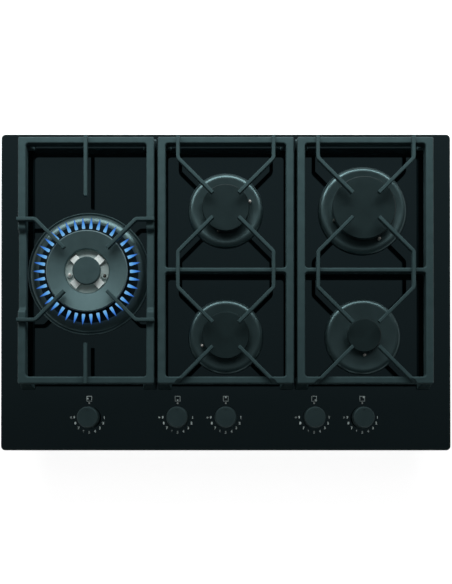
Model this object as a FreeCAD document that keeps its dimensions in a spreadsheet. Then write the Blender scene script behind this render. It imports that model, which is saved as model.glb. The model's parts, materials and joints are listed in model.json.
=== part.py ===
"""Gas hob: five burners on a black glass panel, three cast pan supports, five knobs along the front.

Origin: centre of the worktop opening, on the worktop's top face. +X right, +Y to the back, +Z up.
All sizes are in millimetres.
"""
import FreeCAD
import Part

import math
import os

import Sketcher

os.makedirs("parts", exist_ok=True)
doc = FreeCAD.newDocument("GasHob")
V = FreeCAD.Vector

# ---------------------------------------------------------------- driving sizes

SIZES = (
    # name, value, what it is
    ("glass_width", 710, "glass panel, left to right"),
    ("glass_depth", 500, "glass panel, front to back"),
    ("glass_thick", 6, "toughened glass"),
    ("glass_corner", 7, "corner radius of the glass"),
    ("glass_bevel", 1, "ground edge of the glass"),
    ("seal_thick", 2, "foam seal, pressed"),
    ("seal_width", 6, "foam seal"),
    ("seal_inset", 1.5, "seal in from the glass edge"),
    ("tray_side", 80, "steel tray in from the glass's left and right edges"),
    ("tray_end", 15, "steel tray in from the glass's front and back edges"),
    ("tray_drop", 46, "tray below the worktop"),
    ("tray_corner", 12, "corner radius of the tray"),
    ("tray_lip", 4, "outward lip bonded under the glass"),
    ("sheet", 1, "sheet steel of tray and deck"),
    ("side_margin", 34.5, "glass left and right of the pan supports"),
    ("back_margin", 16, "glass behind the pan supports"),
    ("control_strip", 103, "glass in front of the pan supports"),
    ("grate_gap", 5.5, "between two pan supports"),
    ("frame_top", 37, "top of the frame bars above the glass"),
    ("frame_tall", 18, "frame bars"),
    ("side_bar", 12, "frame bar at left and right"),
    ("back_bar", 10, "frame bar at the back"),
    ("front_bar", 11, "frame bar at the front"),
    ("cross_bar", 7, "bar between the two burners"),
    ("frame_corner", 4.5, "inner corner radius of the frame"),
    ("frame_outer_corner", 2.5, "outer corner radius of the frame"),
    ("frame_round", 2.2, "rounded top edges of the frame"),
    ("leg_wide", 15, "corner legs at their top, left to right"),
    ("leg_deep", 12.5, "corner legs at their top, front to back"),
    ("leg_bevel", 1.5, "bevelled upright edges of the legs"),
    ("foot_wide", 21, "feet of the legs, left to right"),
    ("foot_deep", 18, "feet of the legs, front to back"),
    ("foot_aside", 1.5, "feet beyond the frame at left and right"),
    ("foot_ahead", 7, "feet beyond the frame at front and back"),
    ("pad_tall", 3, "rubber pads under the legs"),
    ("pad_radius", 5, "rubber pads under the legs"),
    ("finger_top", 44, "top of the fingers above the glass"),
    ("finger_tall", 9.5, "fingers"),
    ("finger_wide", 5.5, "fingers"),
    ("finger_round", 1.3, "rounded top edges of the fingers"),
    ("finger_bend", 7, "bend radius of a finger's centre line"),
    ("finger_side", 73.5, "straight finger runs out from the column's centre line"),
    ("tip_side", 20, "finger tips out from the burner centre, sideways"),
    ("tip_deep", 18.5, "finger tips out from the burner centre, front to back"),
    ("wok_tip", 33, "wok finger tips out from the burner centre, both ways"),
    ("wok_finger_row", 77.5, "straight wok finger runs from the burner centre"),
    ("prong_reach", 113, "single prongs end this far from the wok burner's centre"),
    ("dip_flat", 8, "side bar level beside a wok finger before it dips"),
    ("dip_run", 11, "length of the curved fall into the dip"),
    ("dip_fall", 7.5, "side bars of the wok's pan support dip by this much"),
    ("back_row", 106, "back burners in front of the pan support's back edge"),
    ("front_row", 76, "front burners behind the pan support's front edge"),
    ("wok_ring_radius", 96.25, "wok burner's trim ring"),
    ("wok_cap_radius", 63.5, "wok burner's outer cap"),
    ("wok_opening", 34, "hole in the wok burner's outer cap"),
    ("wok_core_radius", 22, "wok burner's centre cap"),
    ("wok_cap_top", 29, "wok burner's outer cap above the glass"),
    ("wok_core_top", 31, "wok burner's centre cap above the glass"),
    ("wok_flank", 18, "outer flank of the wok burner's trim ring"),
    ("wok_ports", 38, "flame ports round the wok burner"),
    ("core_setback", 2, "inner crown's wall in from the centre cap's edge"),
    ("core_wall", 4, "inner crown's wall"),
    ("block_width", 13, "bare blocks on the wok burner's saucer"),
    ("block_reach", 31.4, "bare blocks' outer ends from the burner's centre"),
    ("saucer_top", 19, "saucer between the wok burner's crowns, at its inner edge above the glass"),
    ("saucer_fall", 2, "fall of the saucer to its outer edge"),
    ("saucer_thick", 3, "saucer"),
    ("boss_top", 20.5, "bosses on the saucer above the glass"),
    ("spark_boss", 4.4, "boss round the wok burner's spark plug"),
    ("probe_boss", 5, "boss round the wok burner's flame probe"),
    ("probe_well", 2.8, "hole in the boss round the flame probe"),
    ("wok_dish", 2, "fall of the wok cap towards its hole"),
    ("rapid_ring_radius", 70, "rapid burner's trim ring"),
    ("rapid_cap_radius", 49.5, "rapid burner's cap"),
    ("rapid_ports", 32, "flame ports"),
    ("semi_ring_radius", 59.25, "medium burners' trim rings"),
    ("semi_cap_radius", 37, "medium burners' caps"),
    ("semi_ports", 24, "flame ports"),
    ("aux_ring_radius", 60, "small burner's trim ring"),
    ("aux_cap_radius", 26.5, "small burner's cap"),
    ("aux_ports", 18, "flame ports"),
    ("cap_top", 24, "caps above the glass"),
    ("cap_thick", 4.5, "cap rims"),
    ("cap_bevel", 1.6, "bevelled rim of a cap"),
    ("cap_overhang", 2.5, "cap beyond its burner head"),
    ("cap_lip", 2, "locating lip under a cap"),
    ("crown_wall", 5, "wall of a burner head that the ports cut"),
    ("port_width", 1.8, "flame port"),
    ("port_tall", 3.5, "flame port"),
    ("ring_crest", 8, "highest line of a trim ring above the glass"),
    ("ring_flank", 9.5, "outer flank of a trim ring"),
    ("ring_edge", 1.6, "upright edge of a trim ring"),
    ("ring_bead", 3, "beaded edge of the wok burner's trim ring"),
    ("ring_bead_top", 3, "beaded edge above the glass"),
    ("ring_sheet", 1.6, "enamelled steel of a trim ring"),
    ("ring_inner", 5.5, "trim ring's inner edge above the glass"),
    ("head_seat", 7, "burner cup's top above the glass"),
    ("head_floor", 3, "floor of a burner head"),
    ("head_spigot", 4, "burner head down into its cup"),
    ("cup_setback", 9, "cup wall in from the burner head"),
    ("cup_wall", 3, "burner cup"),
    ("cup_shoulder", 3, "shoulder on a cup that carries the trim ring"),
    ("wok_shoulder", 1, "shoulder on the wok burner's cup"),
    ("cup_depth", 30, "bottom of the cups below the glass top"),
    ("hole_margin", 6.5, "hole in the glass beyond the cap"),
    ("deck_gap", 6, "top of the steel deck below the glass"),
    ("deck_front", 60, "deck in front of the front burners' centres"),
    ("flange_thick", 3, "cup flange on the deck"),
    ("flange_margin", 2, "cup flange beyond the hole in the glass"),
    ("wok_cup_radius", 49, "wok burner's cup"),
    ("wok_hole_radius", 54, "hole in the glass under the wok burner"),
    ("wok_flange_radius", 58, "wok cup's flange on the deck"),
    ("spark_radius", 2, "ceramic of a spark plug"),
    ("spark_gap", 0.8, "between a cap's rim and a spark plug"),
    ("spark_top", 19, "tip of a spark plug above the glass"),
    ("probe_radius", 1.5, "flame probe"),
    ("probe_top", 16, "tip of a flame probe above the glass"),
    ("knob_row", 52, "knob axes behind the glass's front edge"),
    ("knob_pair", 76, "from a column's knob to the next one on its left"),
    ("knob_radius", 17.5, "knob at its foot"),
    ("knob_face", 16.2, "knob at its top"),
    ("knob_bevel", 1.4, "bevelled rim of a knob"),
    ("knob_top", 22, "knob's top above the glass"),
    ("knob_gap", 4.6, "under a knob at rest"),
    ("knob_travel", 4, "how far a knob is pushed in"),
    ("knob_wall", 2, "wall of a knob"),
    ("stem_radius", 3, "knob stem"),
    ("stem_flat", 1, "depth of the flat on a stem"),
    ("knob_hole", 7, "radius of the glass's knob holes"),
    ("valve_width", 26, "gas valve"),
    ("valve_tall", 27, "gas valve's block"),
    ("valve_drop", 51, "bottom of a gas valve below the glass top"),
    ("valve_front", 20, "gas valve in front of the knob axis"),
    ("valve_back", 19, "gas valve behind the knob axis"),
    ("valve_neck", 10, "radius of a gas valve's neck"),
    ("plug_wide", 7, "tapered plug in a valve, upper radius"),
    ("plug_slim", 5.5, "tapered plug in a valve, lower radius"),
    ("plug_tall", 20, "tapered plug in a valve"),
    ("rail_radius", 8, "gas rail pipe"),
    ("rail_offset", 24, "gas rail in front of the knob axes"),
    ("rail_drop", 39, "gas rail below the glass top"),
    ("rail_aside", 34.5, "gas rail's closed end left of the left burner's centre"),
    ("rail_bend", 24, "gas rail's bend radius"),
    ("inlet_aside", 39.5, "gas inlet right of the right burners' centres"),
    ("inlet_margin", 42, "gas inlet in front of the glass's back edge"),
    ("inlet_radius", 10.4775, "inlet thread, G 1/2"),
    ("inlet_long", 18, "inlet's lower end below the tray"),
    ("shank_radius", 11.5, "inlet elbow where it goes through the tray"),
    ("locknut_tall", 4, "flat nut under the tray"),
    ("tube_radius", 4, "aluminium gas tubes"),
    ("tube_drop", 45, "gas tubes below the glass top"),
    ("tube_bend", 9, "bend radius of the gas tubes"),
    ("bypass", 22, "long tubes pass this far right of the front burner's centre"),
    ("fit_gap", 0.05, "sliding and turning fits, radial"),
    ("free_gap", 0.3, "clearance of pieces that lift off"),
)

sheet = doc.addObject("Spreadsheet::Sheet", "Sizes")
for row, (alias, value, note) in enumerate(SIZES, 1):
    sheet.set(f"A{row}", alias)
    sheet.set(f"B{row}", str(value))
    sheet.setAlias(f"B{row}", alias)
    sheet.set(f"C{row}", note)
doc.recompute()


class Size:
    """A length that knows its value and the sheet expression that gives it."""

    def __init__(self, value, text=None):
        self.value = float(value)
        self.text = text or repr(float(value))

    def __add__(self, other):
        return joined(self, other, "+", lambda a, b: a + b)

    def __sub__(self, other):
        return joined(self, other, "-", lambda a, b: a - b)

    def __mul__(self, other):
        return joined(self, other, "*", lambda a, b: a * b)

    def __truediv__(self, other):
        return joined(self, other, "/", lambda a, b: a / b)

    def __radd__(self, other):
        return Size(other) + self

    def __rsub__(self, other):
        return Size(other) - self

    def __rmul__(self, other):
        return Size(other) * self

    def __neg__(self):
        return Size(0) - self

    def __float__(self):
        return self.value


def as_size(value):
    return value if isinstance(value, Size) else Size(value)


def joined(a, b, sign, rule):
    a = as_size(a)
    b = as_size(b)
    return Size(rule(a.value, b.value), f"({a.text} {sign} {b.text})")


def named(alias):
    """A driving size, by its name in the sheet."""
    return Size(sheet.get(alias), f"Sizes.{alias}")


S = {alias: named(alias) for alias, _, _ in SIZES}


# ---------------------------------------------------------------- shared places

GLASS_LOW = S["seal_thick"]
GLASS_TOP = S["seal_thick"] + S["glass_thick"]
GRATE_WIDTH = (S["glass_width"] - 2 * S["side_margin"] - 2 * S["grate_gap"]) / 3
COLUMN = GRATE_WIDTH + S["grate_gap"]
GRATE_BACK = S["glass_depth"] / 2 - S["back_margin"]
GRATE_FRONT = S["control_strip"] - S["glass_depth"] / 2
BACK_ROW = GRATE_BACK - S["back_row"]
FRONT_ROW = GRATE_FRONT + S["front_row"]
MID_ROW = (BACK_ROW + FRONT_ROW) / 2
KNOB_ROW = S["knob_row"] - S["glass_depth"] / 2
KNOB_PLACES = (
    ("wok", -COLUMN),
    ("front_middle", -S["knob_pair"]),
    ("back_middle", Size(0)),
    ("front_right", COLUMN - S["knob_pair"]),
    ("back_right", COLUMN),
)
TRAY_WIDTH = S["glass_width"] - 2 * S["tray_side"]
TRAY_DEPTH = S["glass_depth"] - 2 * S["tray_end"]
INLET_SIDE = COLUMN + S["inlet_aside"]
INLET_BACK = S["glass_depth"] / 2 - S["inlet_margin"]
RAIL_END = COLUMN + S["rail_aside"]
DECK_DROP = S["glass_thick"] + S["deck_gap"]
FLANGE_TOP = S["flange_thick"] - DECK_DROP

# ---------------------------------------------------------------- small shared sizes

JET_RADIUS = 4
SCREW_RADIUS = 2
THIN_ROD = 1.3
CORE_NECK = S["wok_core_radius"] - 5
CORE_SEAT = S["head_seat"] + 2
WOK_OUTER_JET = (11.5, -32)
STEM_LOW = 41.8
STEM_HIGH = 17
PLUG_LOW = 46
OUTLET_LONG = Size(5)
CABLE_SIDE = Size(-60)
CABLE_DROP = Size(24)
CABLE_RADIUS = Size(8)
CLAMP_ROWS = (-150, 150)
CLAMP_SCREW = Size(-20)
CLAMP_FOOT = Size(32)
CLAMP_THICK = Size(1.5)


def above_glass(height):
    """A height over the glass's top face, as a height over the worktop."""
    return GLASS_TOP + height


# ---------------------------------------------------------------- sketch and feature helpers


def origin_plane(body, role):
    return [f for f in body.Origin.OriginFeatures if f.Role == role][0]


def new_body(label, x=None, y=None):
    body = doc.addObject("PartDesign::Body", label)
    body.Label = label
    if x is not None:
        body.setExpression("Placement.Base.x", as_size(x).text)
    if y is not None:
        body.setExpression("Placement.Base.y", as_size(y).text)
    return body


def new_sketch(body, name, role, offset=None):
    sketch = body.newObject("Sketcher::SketchObject", name)
    sketch.AttachmentSupport = (origin_plane(body, role), "")
    sketch.MapMode = "FlatFace"
    if offset is not None:
        sketch.setExpression("AttachmentOffset.Base.z", as_size(offset).text)
    return sketch


def arc_between(start, end, radius, left, long_way):
    """The arc from start to end, bulging to the left or right of the way there."""
    chord = end - start
    half = chord.Length / 2
    away = math.sqrt(max(radius * radius - half * half, 0))
    side = V(-chord.y, chord.x, 0).normalize() * (1 if left else -1)
    centre = (start + end) * 0.5 + side * (away if long_way else -away)
    middle = centre + side * radius
    return Part.Arc(start, middle, end)


def draw_outline(sketch, points):
    """A closed outline through points (x, y), each bound to the sheet.

    A point may add (radius, side) or (radius, side, "long") for an arc to the next point,
    where side is "left" or "right" of the way along the outline.
    """
    count = len(points)
    spots = [V(float(p[0]), float(p[1]), 0) for p in points]
    first = sketch.GeometryCount
    for i, point in enumerate(points):
        start = spots[i]
        end = spots[(i + 1) % count]
        if len(point) == 2:
            sketch.addGeometry(Part.LineSegment(start, end))
        else:
            long_way = len(point) == 5
            sketch.addGeometry(arc_between(start, end, float(point[2]), point[3] == "left", long_way))
    for i, point in enumerate(points):
        nearest = end_nearest(sketch, first + i, spots[i])
        x_axis_zero = abs(spots[i].y) < 1e-9 and not isinstance(point[1], Size)
        y_axis_zero = abs(spots[i].x) < 1e-9 and not isinstance(point[0], Size)
        before = (i - 1) % count
        meets = end_nearest(sketch, first + before, spots[i])
        sketch.addConstraint(Sketcher.Constraint("Coincident", first + before, meets, first + i, nearest))
        if y_axis_zero:
            sketch.addConstraint(Sketcher.Constraint("PointOnObject", first + i, nearest, -2))
        else:
            bind(sketch, "DistanceX", first + i, nearest, point[0])
        if x_axis_zero:
            sketch.addConstraint(Sketcher.Constraint("PointOnObject", first + i, nearest, -1))
        else:
            bind(sketch, "DistanceY", first + i, nearest, point[1])
        if len(point) > 2:
            size = as_size(point[2])
            place = sketch.addConstraint(Sketcher.Constraint("Radius", first + i, float(size)))
            sketch.setExpression(f"Constraints[{place}]", size.text)


def end_nearest(sketch, index, spot):
    """Which end of a line or arc lies at a spot: 1 for its start, 2 for its end."""
    start = sketch.getPoint(index, 1)
    end = sketch.getPoint(index, 2)
    return 1 if (start - spot).Length <= (end - spot).Length else 2


def bind(sketch, kind, index, end, value):
    size = as_size(value)
    place = sketch.addConstraint(Sketcher.Constraint(kind, -1, 1, index, end, float(size)))
    sketch.setExpression(f"Constraints[{place}]", size.text)


def draw_circles(sketch, circles):
    """Circles (x, y, radius), bound to the sheet."""
    for x, y, radius in circles:
        index = sketch.addGeometry(
            Part.Circle(V(float(x), float(y), 0), V(0, 0, 1), float(radius))
        )
        for kind, value in (("DistanceX", x), ("DistanceY", y)):
            bind(sketch, kind, index, 3, value)
        size = as_size(radius)
        place = sketch.addConstraint(Sketcher.Constraint("Radius", index, float(size)))
        sketch.setExpression(f"Constraints[{place}]", size.text)


def rounded_rectangle(left, front, right, back, corner):
    """Outline points of a rectangle with round corners, counter-clockwise."""
    return [
        (left + corner, front),
        (right - corner, front, corner, "right"),
        (right, front + corner),
        (right, back - corner, corner, "right"),
        (right - corner, back),
        (left + corner, back, corner, "right"),
        (left, back - corner),
        (left, front + corner, corner, "right"),
    ]


def rectangle(left, front, right, back):
    return [(left, front), (right, front), (right, back), (left, back)]


def revolve(body, points, name="Turned"):
    """Turn a profile of (radius, height) points about the body's upright axis."""
    sketch = new_sketch(body, name + "Profile", "XZ_Plane")
    draw_outline(sketch, points)
    feature = body.newObject("PartDesign::Revolution", name)
    feature.Profile = sketch
    feature.ReferenceAxis = (sketch, ["V_Axis"])
    feature.Angle = 360
    return feature


def pad(body, name, low, high, outlines=(), circles=()):
    """Extrude outlines on the XY plane from one height to another."""
    sketch = new_sketch(body, name + "Sketch", "XY_Plane", low)
    for outline in outlines:
        draw_outline(sketch, outline)
    draw_circles(sketch, circles)
    feature = body.newObject("PartDesign::Pad", name)
    feature.Profile = sketch
    feature.setExpression("Length", (as_size(high) - low).text)
    return feature


def pocket(body, name, high, low, outlines=(), circles=()):
    """Cut outlines on the XY plane from one height down to another."""
    sketch = new_sketch(body, name + "Sketch", "XY_Plane", high)
    for outline in outlines:
        draw_outline(sketch, outline)
    draw_circles(sketch, circles)
    feature = body.newObject("PartDesign::Pocket", name)
    feature.Profile = sketch
    feature.setExpression("Length", (as_size(high) - low).text)
    return feature


def repeat_round(body, feature, count):
    """Repeat a cut or pad evenly about the body's upright axis."""
    pattern = body.newObject("PartDesign::PolarPattern", feature.Name + "Round")
    pattern.Originals = [feature]
    pattern.Axis = (feature.Profile[0], ["N_Axis"])
    pattern.Angle = 360
    pattern.Occurrences = int(count)
    body.Tip = pattern
    return pattern


def edges_where(feature, test):
    """Names of a feature's edges whose middle point passes a test."""
    found = []
    for number, edge in enumerate(feature.Shape.Edges, 1):
        middle = edge.valueAt((edge.FirstParameter + edge.LastParameter) / 2)
        if test(edge, middle):
            found.append(f"Edge{number}")
    return found


def round_edges(body, feature, name, radius, test):
    doc.recompute()
    fillet = body.newObject("PartDesign::Fillet", name)
    fillet.Base = (feature, edges_where(feature, test))
    fillet.setExpression("Radius", as_size(radius).text)
    return fillet


def bevel_edges(body, feature, name, size, test):
    doc.recompute()
    chamfer = body.newObject("PartDesign::Chamfer", name)
    chamfer.Base = (feature, edges_where(feature, test))
    chamfer.setExpression("Size", as_size(size).text)
    return chamfer


def set_shape(label, shape):
    feature = doc.addObject("Part::Feature", label)
    feature.Label = label
    feature.Shape = shape
    return feature


def group(label, objects):
    """Several separate solids of one kind under one name."""
    compound = doc.addObject("Part::Compound", label)
    compound.Label = label
    compound.Links = list(objects)
    return compound


def bent_path(points, radius):
    """A wire of straight runs joined by tangent arcs."""
    edges = []
    start = points[0]
    for here, corner, after in zip(points, points[1:], points[2:]):
        toward = (here - corner).normalize()
        onward = (after - corner).normalize()
        half_turn = math.pi / 2 - toward.getAngle(onward) / 2
        cut = radius * math.tan(half_turn)
        entry = corner + toward * cut
        leave = corner + onward * cut
        inward = (toward + onward).normalize()
        centre = corner + inward * (radius / math.cos(half_turn))
        edges.append(Part.LineSegment(start, entry).toShape())
        edges.append(Part.Arc(entry, centre - inward * radius, leave).toShape())
        start = leave
    edges.append(Part.LineSegment(start, points[-1]).toShape())
    return Part.Wire(edges)


def round_tube(points, radius, bend):
    path = bent_path(points, bend)
    way = (points[1] - points[0]).normalize()
    ring = Part.Wire([Part.Circle(points[0], way, radius).toShape()])
    return path.makePipeShell([ring], True, False)


# ---------------------------------------------------------------- burners


class Burner:
    """Where a burner stands and the radii that its pieces share."""

    def __init__(self, name, kind, x, y, spark_turn, probe_turn):
        self.name = name
        self.kind = kind
        self.x = x
        self.y = y
        self.ring = S[kind + "_ring_radius"]
        self.cap = S[kind + "_cap_radius"]
        self.head = self.cap - S["cap_overhang"]
        self.cup = self.head - S["cup_setback"]
        self.hole = self.cap + S["hole_margin"]
        self.flange = self.hole + S["flange_margin"]
        self.ports = S[kind + "_ports"]
        self.spark = self.cap + S["spark_gap"] + S["spark_radius"]
        self.probe = self.head + S["probe_radius"] + S["fit_gap"] + S["free_gap"]
        self.spark_turn = spark_turn
        self.probe_turn = probe_turn

    def round_about(self, radius, turn):
        """A place at a radius and an angle in degrees from the burner's centre, in the body's own axes."""
        return (
            radius * math.cos(math.radians(turn)),
            radius * math.sin(math.radians(turn)),
        )


PLAIN_BURNERS = (
    Burner("back_middle", "semi", Size(0), BACK_ROW, 18, 250),
    Burner("front_middle", "semi", Size(0), FRONT_ROW, 202, 80),
    Burner("back_right", "rapid", COLUMN, BACK_ROW, -61, 200),
    Burner("front_right", "aux", COLUMN, FRONT_ROW, -86, 90),
)
WOK = Burner("wok", "wok", -COLUMN, MID_ROW, 190, -13)
WOK.spark = (S["wok_opening"] + S["wok_core_radius"]) / 2
WOK.probe = WOK.spark
WOK.cup = S["wok_cup_radius"]
WOK.hole = S["wok_hole_radius"]
WOK.flange = S["wok_flange_radius"]
BURNERS = (WOK,) + PLAIN_BURNERS


def trim_ring(burner):
    """Enamelled pressing round the burner: a rounded flank, a crest and a slope in under the cap."""
    body = new_body(burner.name + "_trim_ring", burner.x, burner.y)
    sheet_thick = S["ring_sheet"]
    flank = S["wok_flank"] if burner is WOK else S["ring_flank"]
    crest = burner.ring - flank
    foot = burner.ring
    edge = [(burner.ring, GLASS_TOP)]
    if burner is WOK:
        bead_top = above_glass(S["ring_bead_top"])
        foot = burner.ring - S["ring_bead"]
        edge += [
            (burner.ring, bead_top - 0.6),
            (burner.ring - 0.6, bead_top),
            (burner.ring - 1.8, bead_top),
        ]
    rise = S["ring_crest"] - S["ring_edge"]
    run = foot - crest
    sweep = rise * 0.3 + run * run / (2 * rise) * 0.9
    inner = burner.cup + S["free_gap"]
    under_cap = burner.cap - S["cap_overhang"]
    turned = revolve(body, edge + [
        (foot, above_glass(S["ring_edge"]), sweep, "right"),
        (crest, above_glass(S["ring_crest"])),
        (under_cap, above_glass(S["ring_inner"])),
        (inner, above_glass(S["ring_inner"])),
        (inner, above_glass(S["ring_inner"] - sheet_thick)),
        (under_cap, above_glass(S["ring_inner"] - sheet_thick)),
        (crest, above_glass(S["ring_crest"] - sheet_thick)),
        (burner.ring - sheet_thick, GLASS_TOP),
    ])
    if burner is not WOK:
        drill_probe_holes(body, burner, S["ring_crest"], 0)
    return turned


def drill_probe_holes(body, burner, high, low):
    """Holes that the spark plug and the flame probe stand in."""
    room = S["free_gap"]
    places = [
        burner.round_about(burner.spark, burner.spark_turn) + (S["spark_radius"] + room,),
        burner.round_about(burner.probe, burner.probe_turn) + (S["probe_radius"] + room,),
    ]
    return pocket(body, "ProbeHoles", above_glass(high), above_glass(low), circles=places)


def screw_places(burner):
    """Two fixing screws on the cup's flange."""
    radius = (burner.cup + burner.flange) / 2
    return [burner.round_about(radius, turn) for turn in (45, 225)]


def burner_cup(burner):
    """Cast cup under the glass: floor with the jet's hole, flange on the deck, shoulder for the trim ring."""
    body = new_body(burner.name + "_burner_cup", burner.x, burner.y)
    bottom = GLASS_TOP - S["cup_depth"]
    floor = bottom + S["cup_wall"]
    bore = burner.cup - S["cup_wall"]
    shoulder = burner.cup + (S["wok_shoulder"] if burner is WOK else S["cup_shoulder"])
    revolve(body, [
        (JET_RADIUS, bottom),
        (burner.cup, bottom),
        (burner.cup, GLASS_TOP - DECK_DROP),
        (burner.flange, GLASS_TOP - DECK_DROP),
        (burner.flange, above_glass(FLANGE_TOP)),
        (shoulder, above_glass(FLANGE_TOP)),
        (shoulder, above_glass(S["ring_inner"] - S["ring_sheet"])),
        (burner.cup, above_glass(S["ring_inner"] - S["ring_sheet"])),
        (burner.cup, above_glass(S["head_seat"])),
        (bore, above_glass(S["head_seat"])),
        (bore, floor),
        (JET_RADIUS, floor),
    ])
    if burner is WOK:
        core_bore = CORE_NECK - S["cup_wall"]
        pad(body, "CoreNeck", floor - S["cup_wall"] / 2, above_glass(CORE_SEAT),
            circles=[(0, 0, CORE_NECK), (0, 0, core_bore)])
        pocket(body, "OuterJetHole", floor, bottom, circles=[WOK_OUTER_JET + (JET_RADIUS,)])
        holes = wok_probe_places(S["free_gap"])
        pocket(body, "ProbeHoles", floor, bottom, circles=holes)
    else:
        drill_probe_holes(body, burner, FLANGE_TOP, -DECK_DROP)
    screws = [place + (SCREW_RADIUS + S["fit_gap"],) for place in screw_places(burner)]
    pocket(body, "ScrewHoles", above_glass(FLANGE_TOP), GLASS_TOP - DECK_DROP, circles=screws)


def wok_probe_places(room):
    return [
        WOK.round_about(WOK.spark, WOK.spark_turn) + (S["spark_radius"] + room,),
        WOK.round_about(WOK.probe, WOK.probe_turn) + (THIN_ROD + room,),
    ]


def cut_ports(body, head, wall, top, count):
    """Flame ports: slots cut down into the crown's top edge, evenly round it."""
    half = S["port_width"] / 2
    slot = rectangle(head - wall - 1, -half, head + 1, half)
    cut = pocket(body, "Port", top, top - S["port_tall"], outlines=[slot])
    repeat_round(body, cut, float(count))


def burner_head(burner):
    """Aluminium flame spreader: spigot, floor and a slotted crown wall."""
    body = new_body(burner.name + "_burner_head", burner.x, burner.y)
    seat = above_glass(S["head_seat"])
    top = above_glass(S["cap_top"] - S["cap_thick"])
    spigot = burner.cup - S["cup_wall"] - S["free_gap"]
    throat = spigot - S["cup_wall"]
    inner = burner.head - S["crown_wall"]
    revolve(body, [
        (throat, seat - S["head_spigot"]),
        (spigot, seat - S["head_spigot"]),
        (spigot, seat),
        (burner.head - 2, seat),
        (burner.head, seat + 2),
        (burner.head, top),
        (inner, top),
        (inner, seat + S["head_floor"]),
        (throat, seat + S["head_floor"]),
    ])
    cut_ports(body, burner.head, S["crown_wall"], top, burner.ports)


def burner_cap(burner):
    """Enamelled cap: flat top, round rim, locating lip inside the crown."""
    body = new_body(burner.name + "_burner_cap", burner.x, burner.y)
    top = above_glass(S["cap_top"])
    under = top - S["cap_thick"]
    lip = burner.head - S["crown_wall"] - S["free_gap"]
    inside = lip - S["cap_lip"]
    revolve(body, [
        (0, top),
        (0, under + 1),
        (inside, under + 1),
        (inside, under - S["cap_lip"]),
        (lip, under - S["cap_lip"]),
        (lip, under),
        (burner.cap, under),
        (burner.cap, top - S["cap_bevel"]),
        (burner.cap - S["cap_bevel"], top),
    ])


def wok_head():
    """Wok burner's spreader, one casting: slotted trough, inner crown and a saucer with four blocks between."""
    body = new_body("wok_burner_head", WOK.x, WOK.y)
    seat = above_glass(S["head_seat"])
    top = above_glass(S["wok_cap_top"] - S["cap_thick"])
    spigot = WOK.cup - S["cup_wall"] - S["free_gap"]
    throat = spigot - S["cup_wall"]
    floor = seat + S["head_floor"]
    opening = S["wok_opening"] + 0.5
    inner_top = top - S["wok_dish"]
    revolve(body, [
        (throat, seat - S["head_spigot"]),
        (spigot, seat - S["head_spigot"]),
        (spigot, seat),
        (WOK.head - 2, seat),
        (WOK.head, seat + 2),
        (WOK.head, top),
        (WOK.head - S["crown_wall"], top),
        (WOK.head - S["crown_wall"], floor),
        (opening + 4, floor),
        (opening + 4, inner_top),
        (opening, inner_top),
        (opening, seat),
        (throat, seat),
    ])
    crown = S["wok_core_radius"] - S["core_setback"]
    saucer_in = above_glass(S["saucer_top"])
    saucer_out = saucer_in - S["saucer_fall"]
    revolve(body, [
        (crown - 2, saucer_in),
        (crown - 2, saucer_in - S["saucer_thick"]),
        (opening + 1, saucer_out - S["saucer_thick"]),
        (opening + 1, saucer_out),
    ], "Saucer")
    half = S["block_width"] / 2
    outline = rectangle(crown - 3, -half, S["block_reach"], half)
    block = pad(body, "Block", saucer_out - 1, inner_top - 0.5, outlines=[outline])
    block.Profile[0].AttachmentOffset = FreeCAD.Placement(
        block.Profile[0].AttachmentOffset.Base, FreeCAD.Rotation(V(0, 0, 1), 45)
    )
    repeat_round(body, block, 4)
    core_seat = above_glass(CORE_SEAT)
    core_top = above_glass(S["wok_core_top"] - S["cap_thick"])
    core_spigot = CORE_NECK - S["cup_wall"] - S["free_gap"]
    foot = S["wok_core_radius"] + 3.5
    revolve(body, [
        (core_spigot - 3, core_seat - S["head_spigot"]),
        (core_spigot, core_seat - S["head_spigot"]),
        (core_spigot, core_seat),
        (foot - 1, core_seat),
        (foot, core_seat + 3),
        (crown, core_top - 5),
        (crown, core_top),
        (crown - S["core_wall"], core_top),
        (crown - S["core_wall"], core_seat + 3),
        (core_spigot - 3, core_seat + 3),
    ], "Core")
    spark = WOK.round_about(WOK.spark, WOK.spark_turn)
    probe = WOK.round_about(WOK.probe, WOK.probe_turn)
    boss_top = above_glass(S["boss_top"])
    bosses = [spark + (S["spark_boss"],), probe + (S["probe_boss"],)]
    pad(body, "Bosses", saucer_out - 2, boss_top, circles=bosses)
    wells = [spark + (S["spark_radius"] + S["free_gap"],), probe + (S["probe_well"],)]
    pocket(body, "Wells", boss_top, saucer_out - S["saucer_thick"] - 1, circles=wells)
    cut_ports(body, WOK.head, S["crown_wall"], top, WOK.ports)


def wok_outer_cap():
    """Annular cap whose top falls gently towards its opening."""
    body = new_body("wok_outer_cap", WOK.x, WOK.y)
    top = above_glass(S["wok_cap_top"])
    under = top - S["cap_thick"]
    inner_top = top - S["wok_dish"]
    inner_under = under - S["wok_dish"]
    lip = WOK.head - S["crown_wall"] - S["free_gap"]
    opening = S["wok_opening"]
    revolve(body, [
        (opening, inner_under),
        (opening + 5, inner_under),
        (opening + 5, under + 0.5),
        (lip - S["cap_lip"], under + 0.5),
        (lip - S["cap_lip"], under - S["cap_lip"]),
        (lip, under - S["cap_lip"]),
        (lip, under),
        (WOK.cap, under),
        (WOK.cap, top - S["cap_bevel"]),
        (WOK.cap - S["cap_bevel"], top),
        (opening + S["cap_bevel"], inner_top),
        (opening, inner_top - S["cap_bevel"]),
    ])


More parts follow.
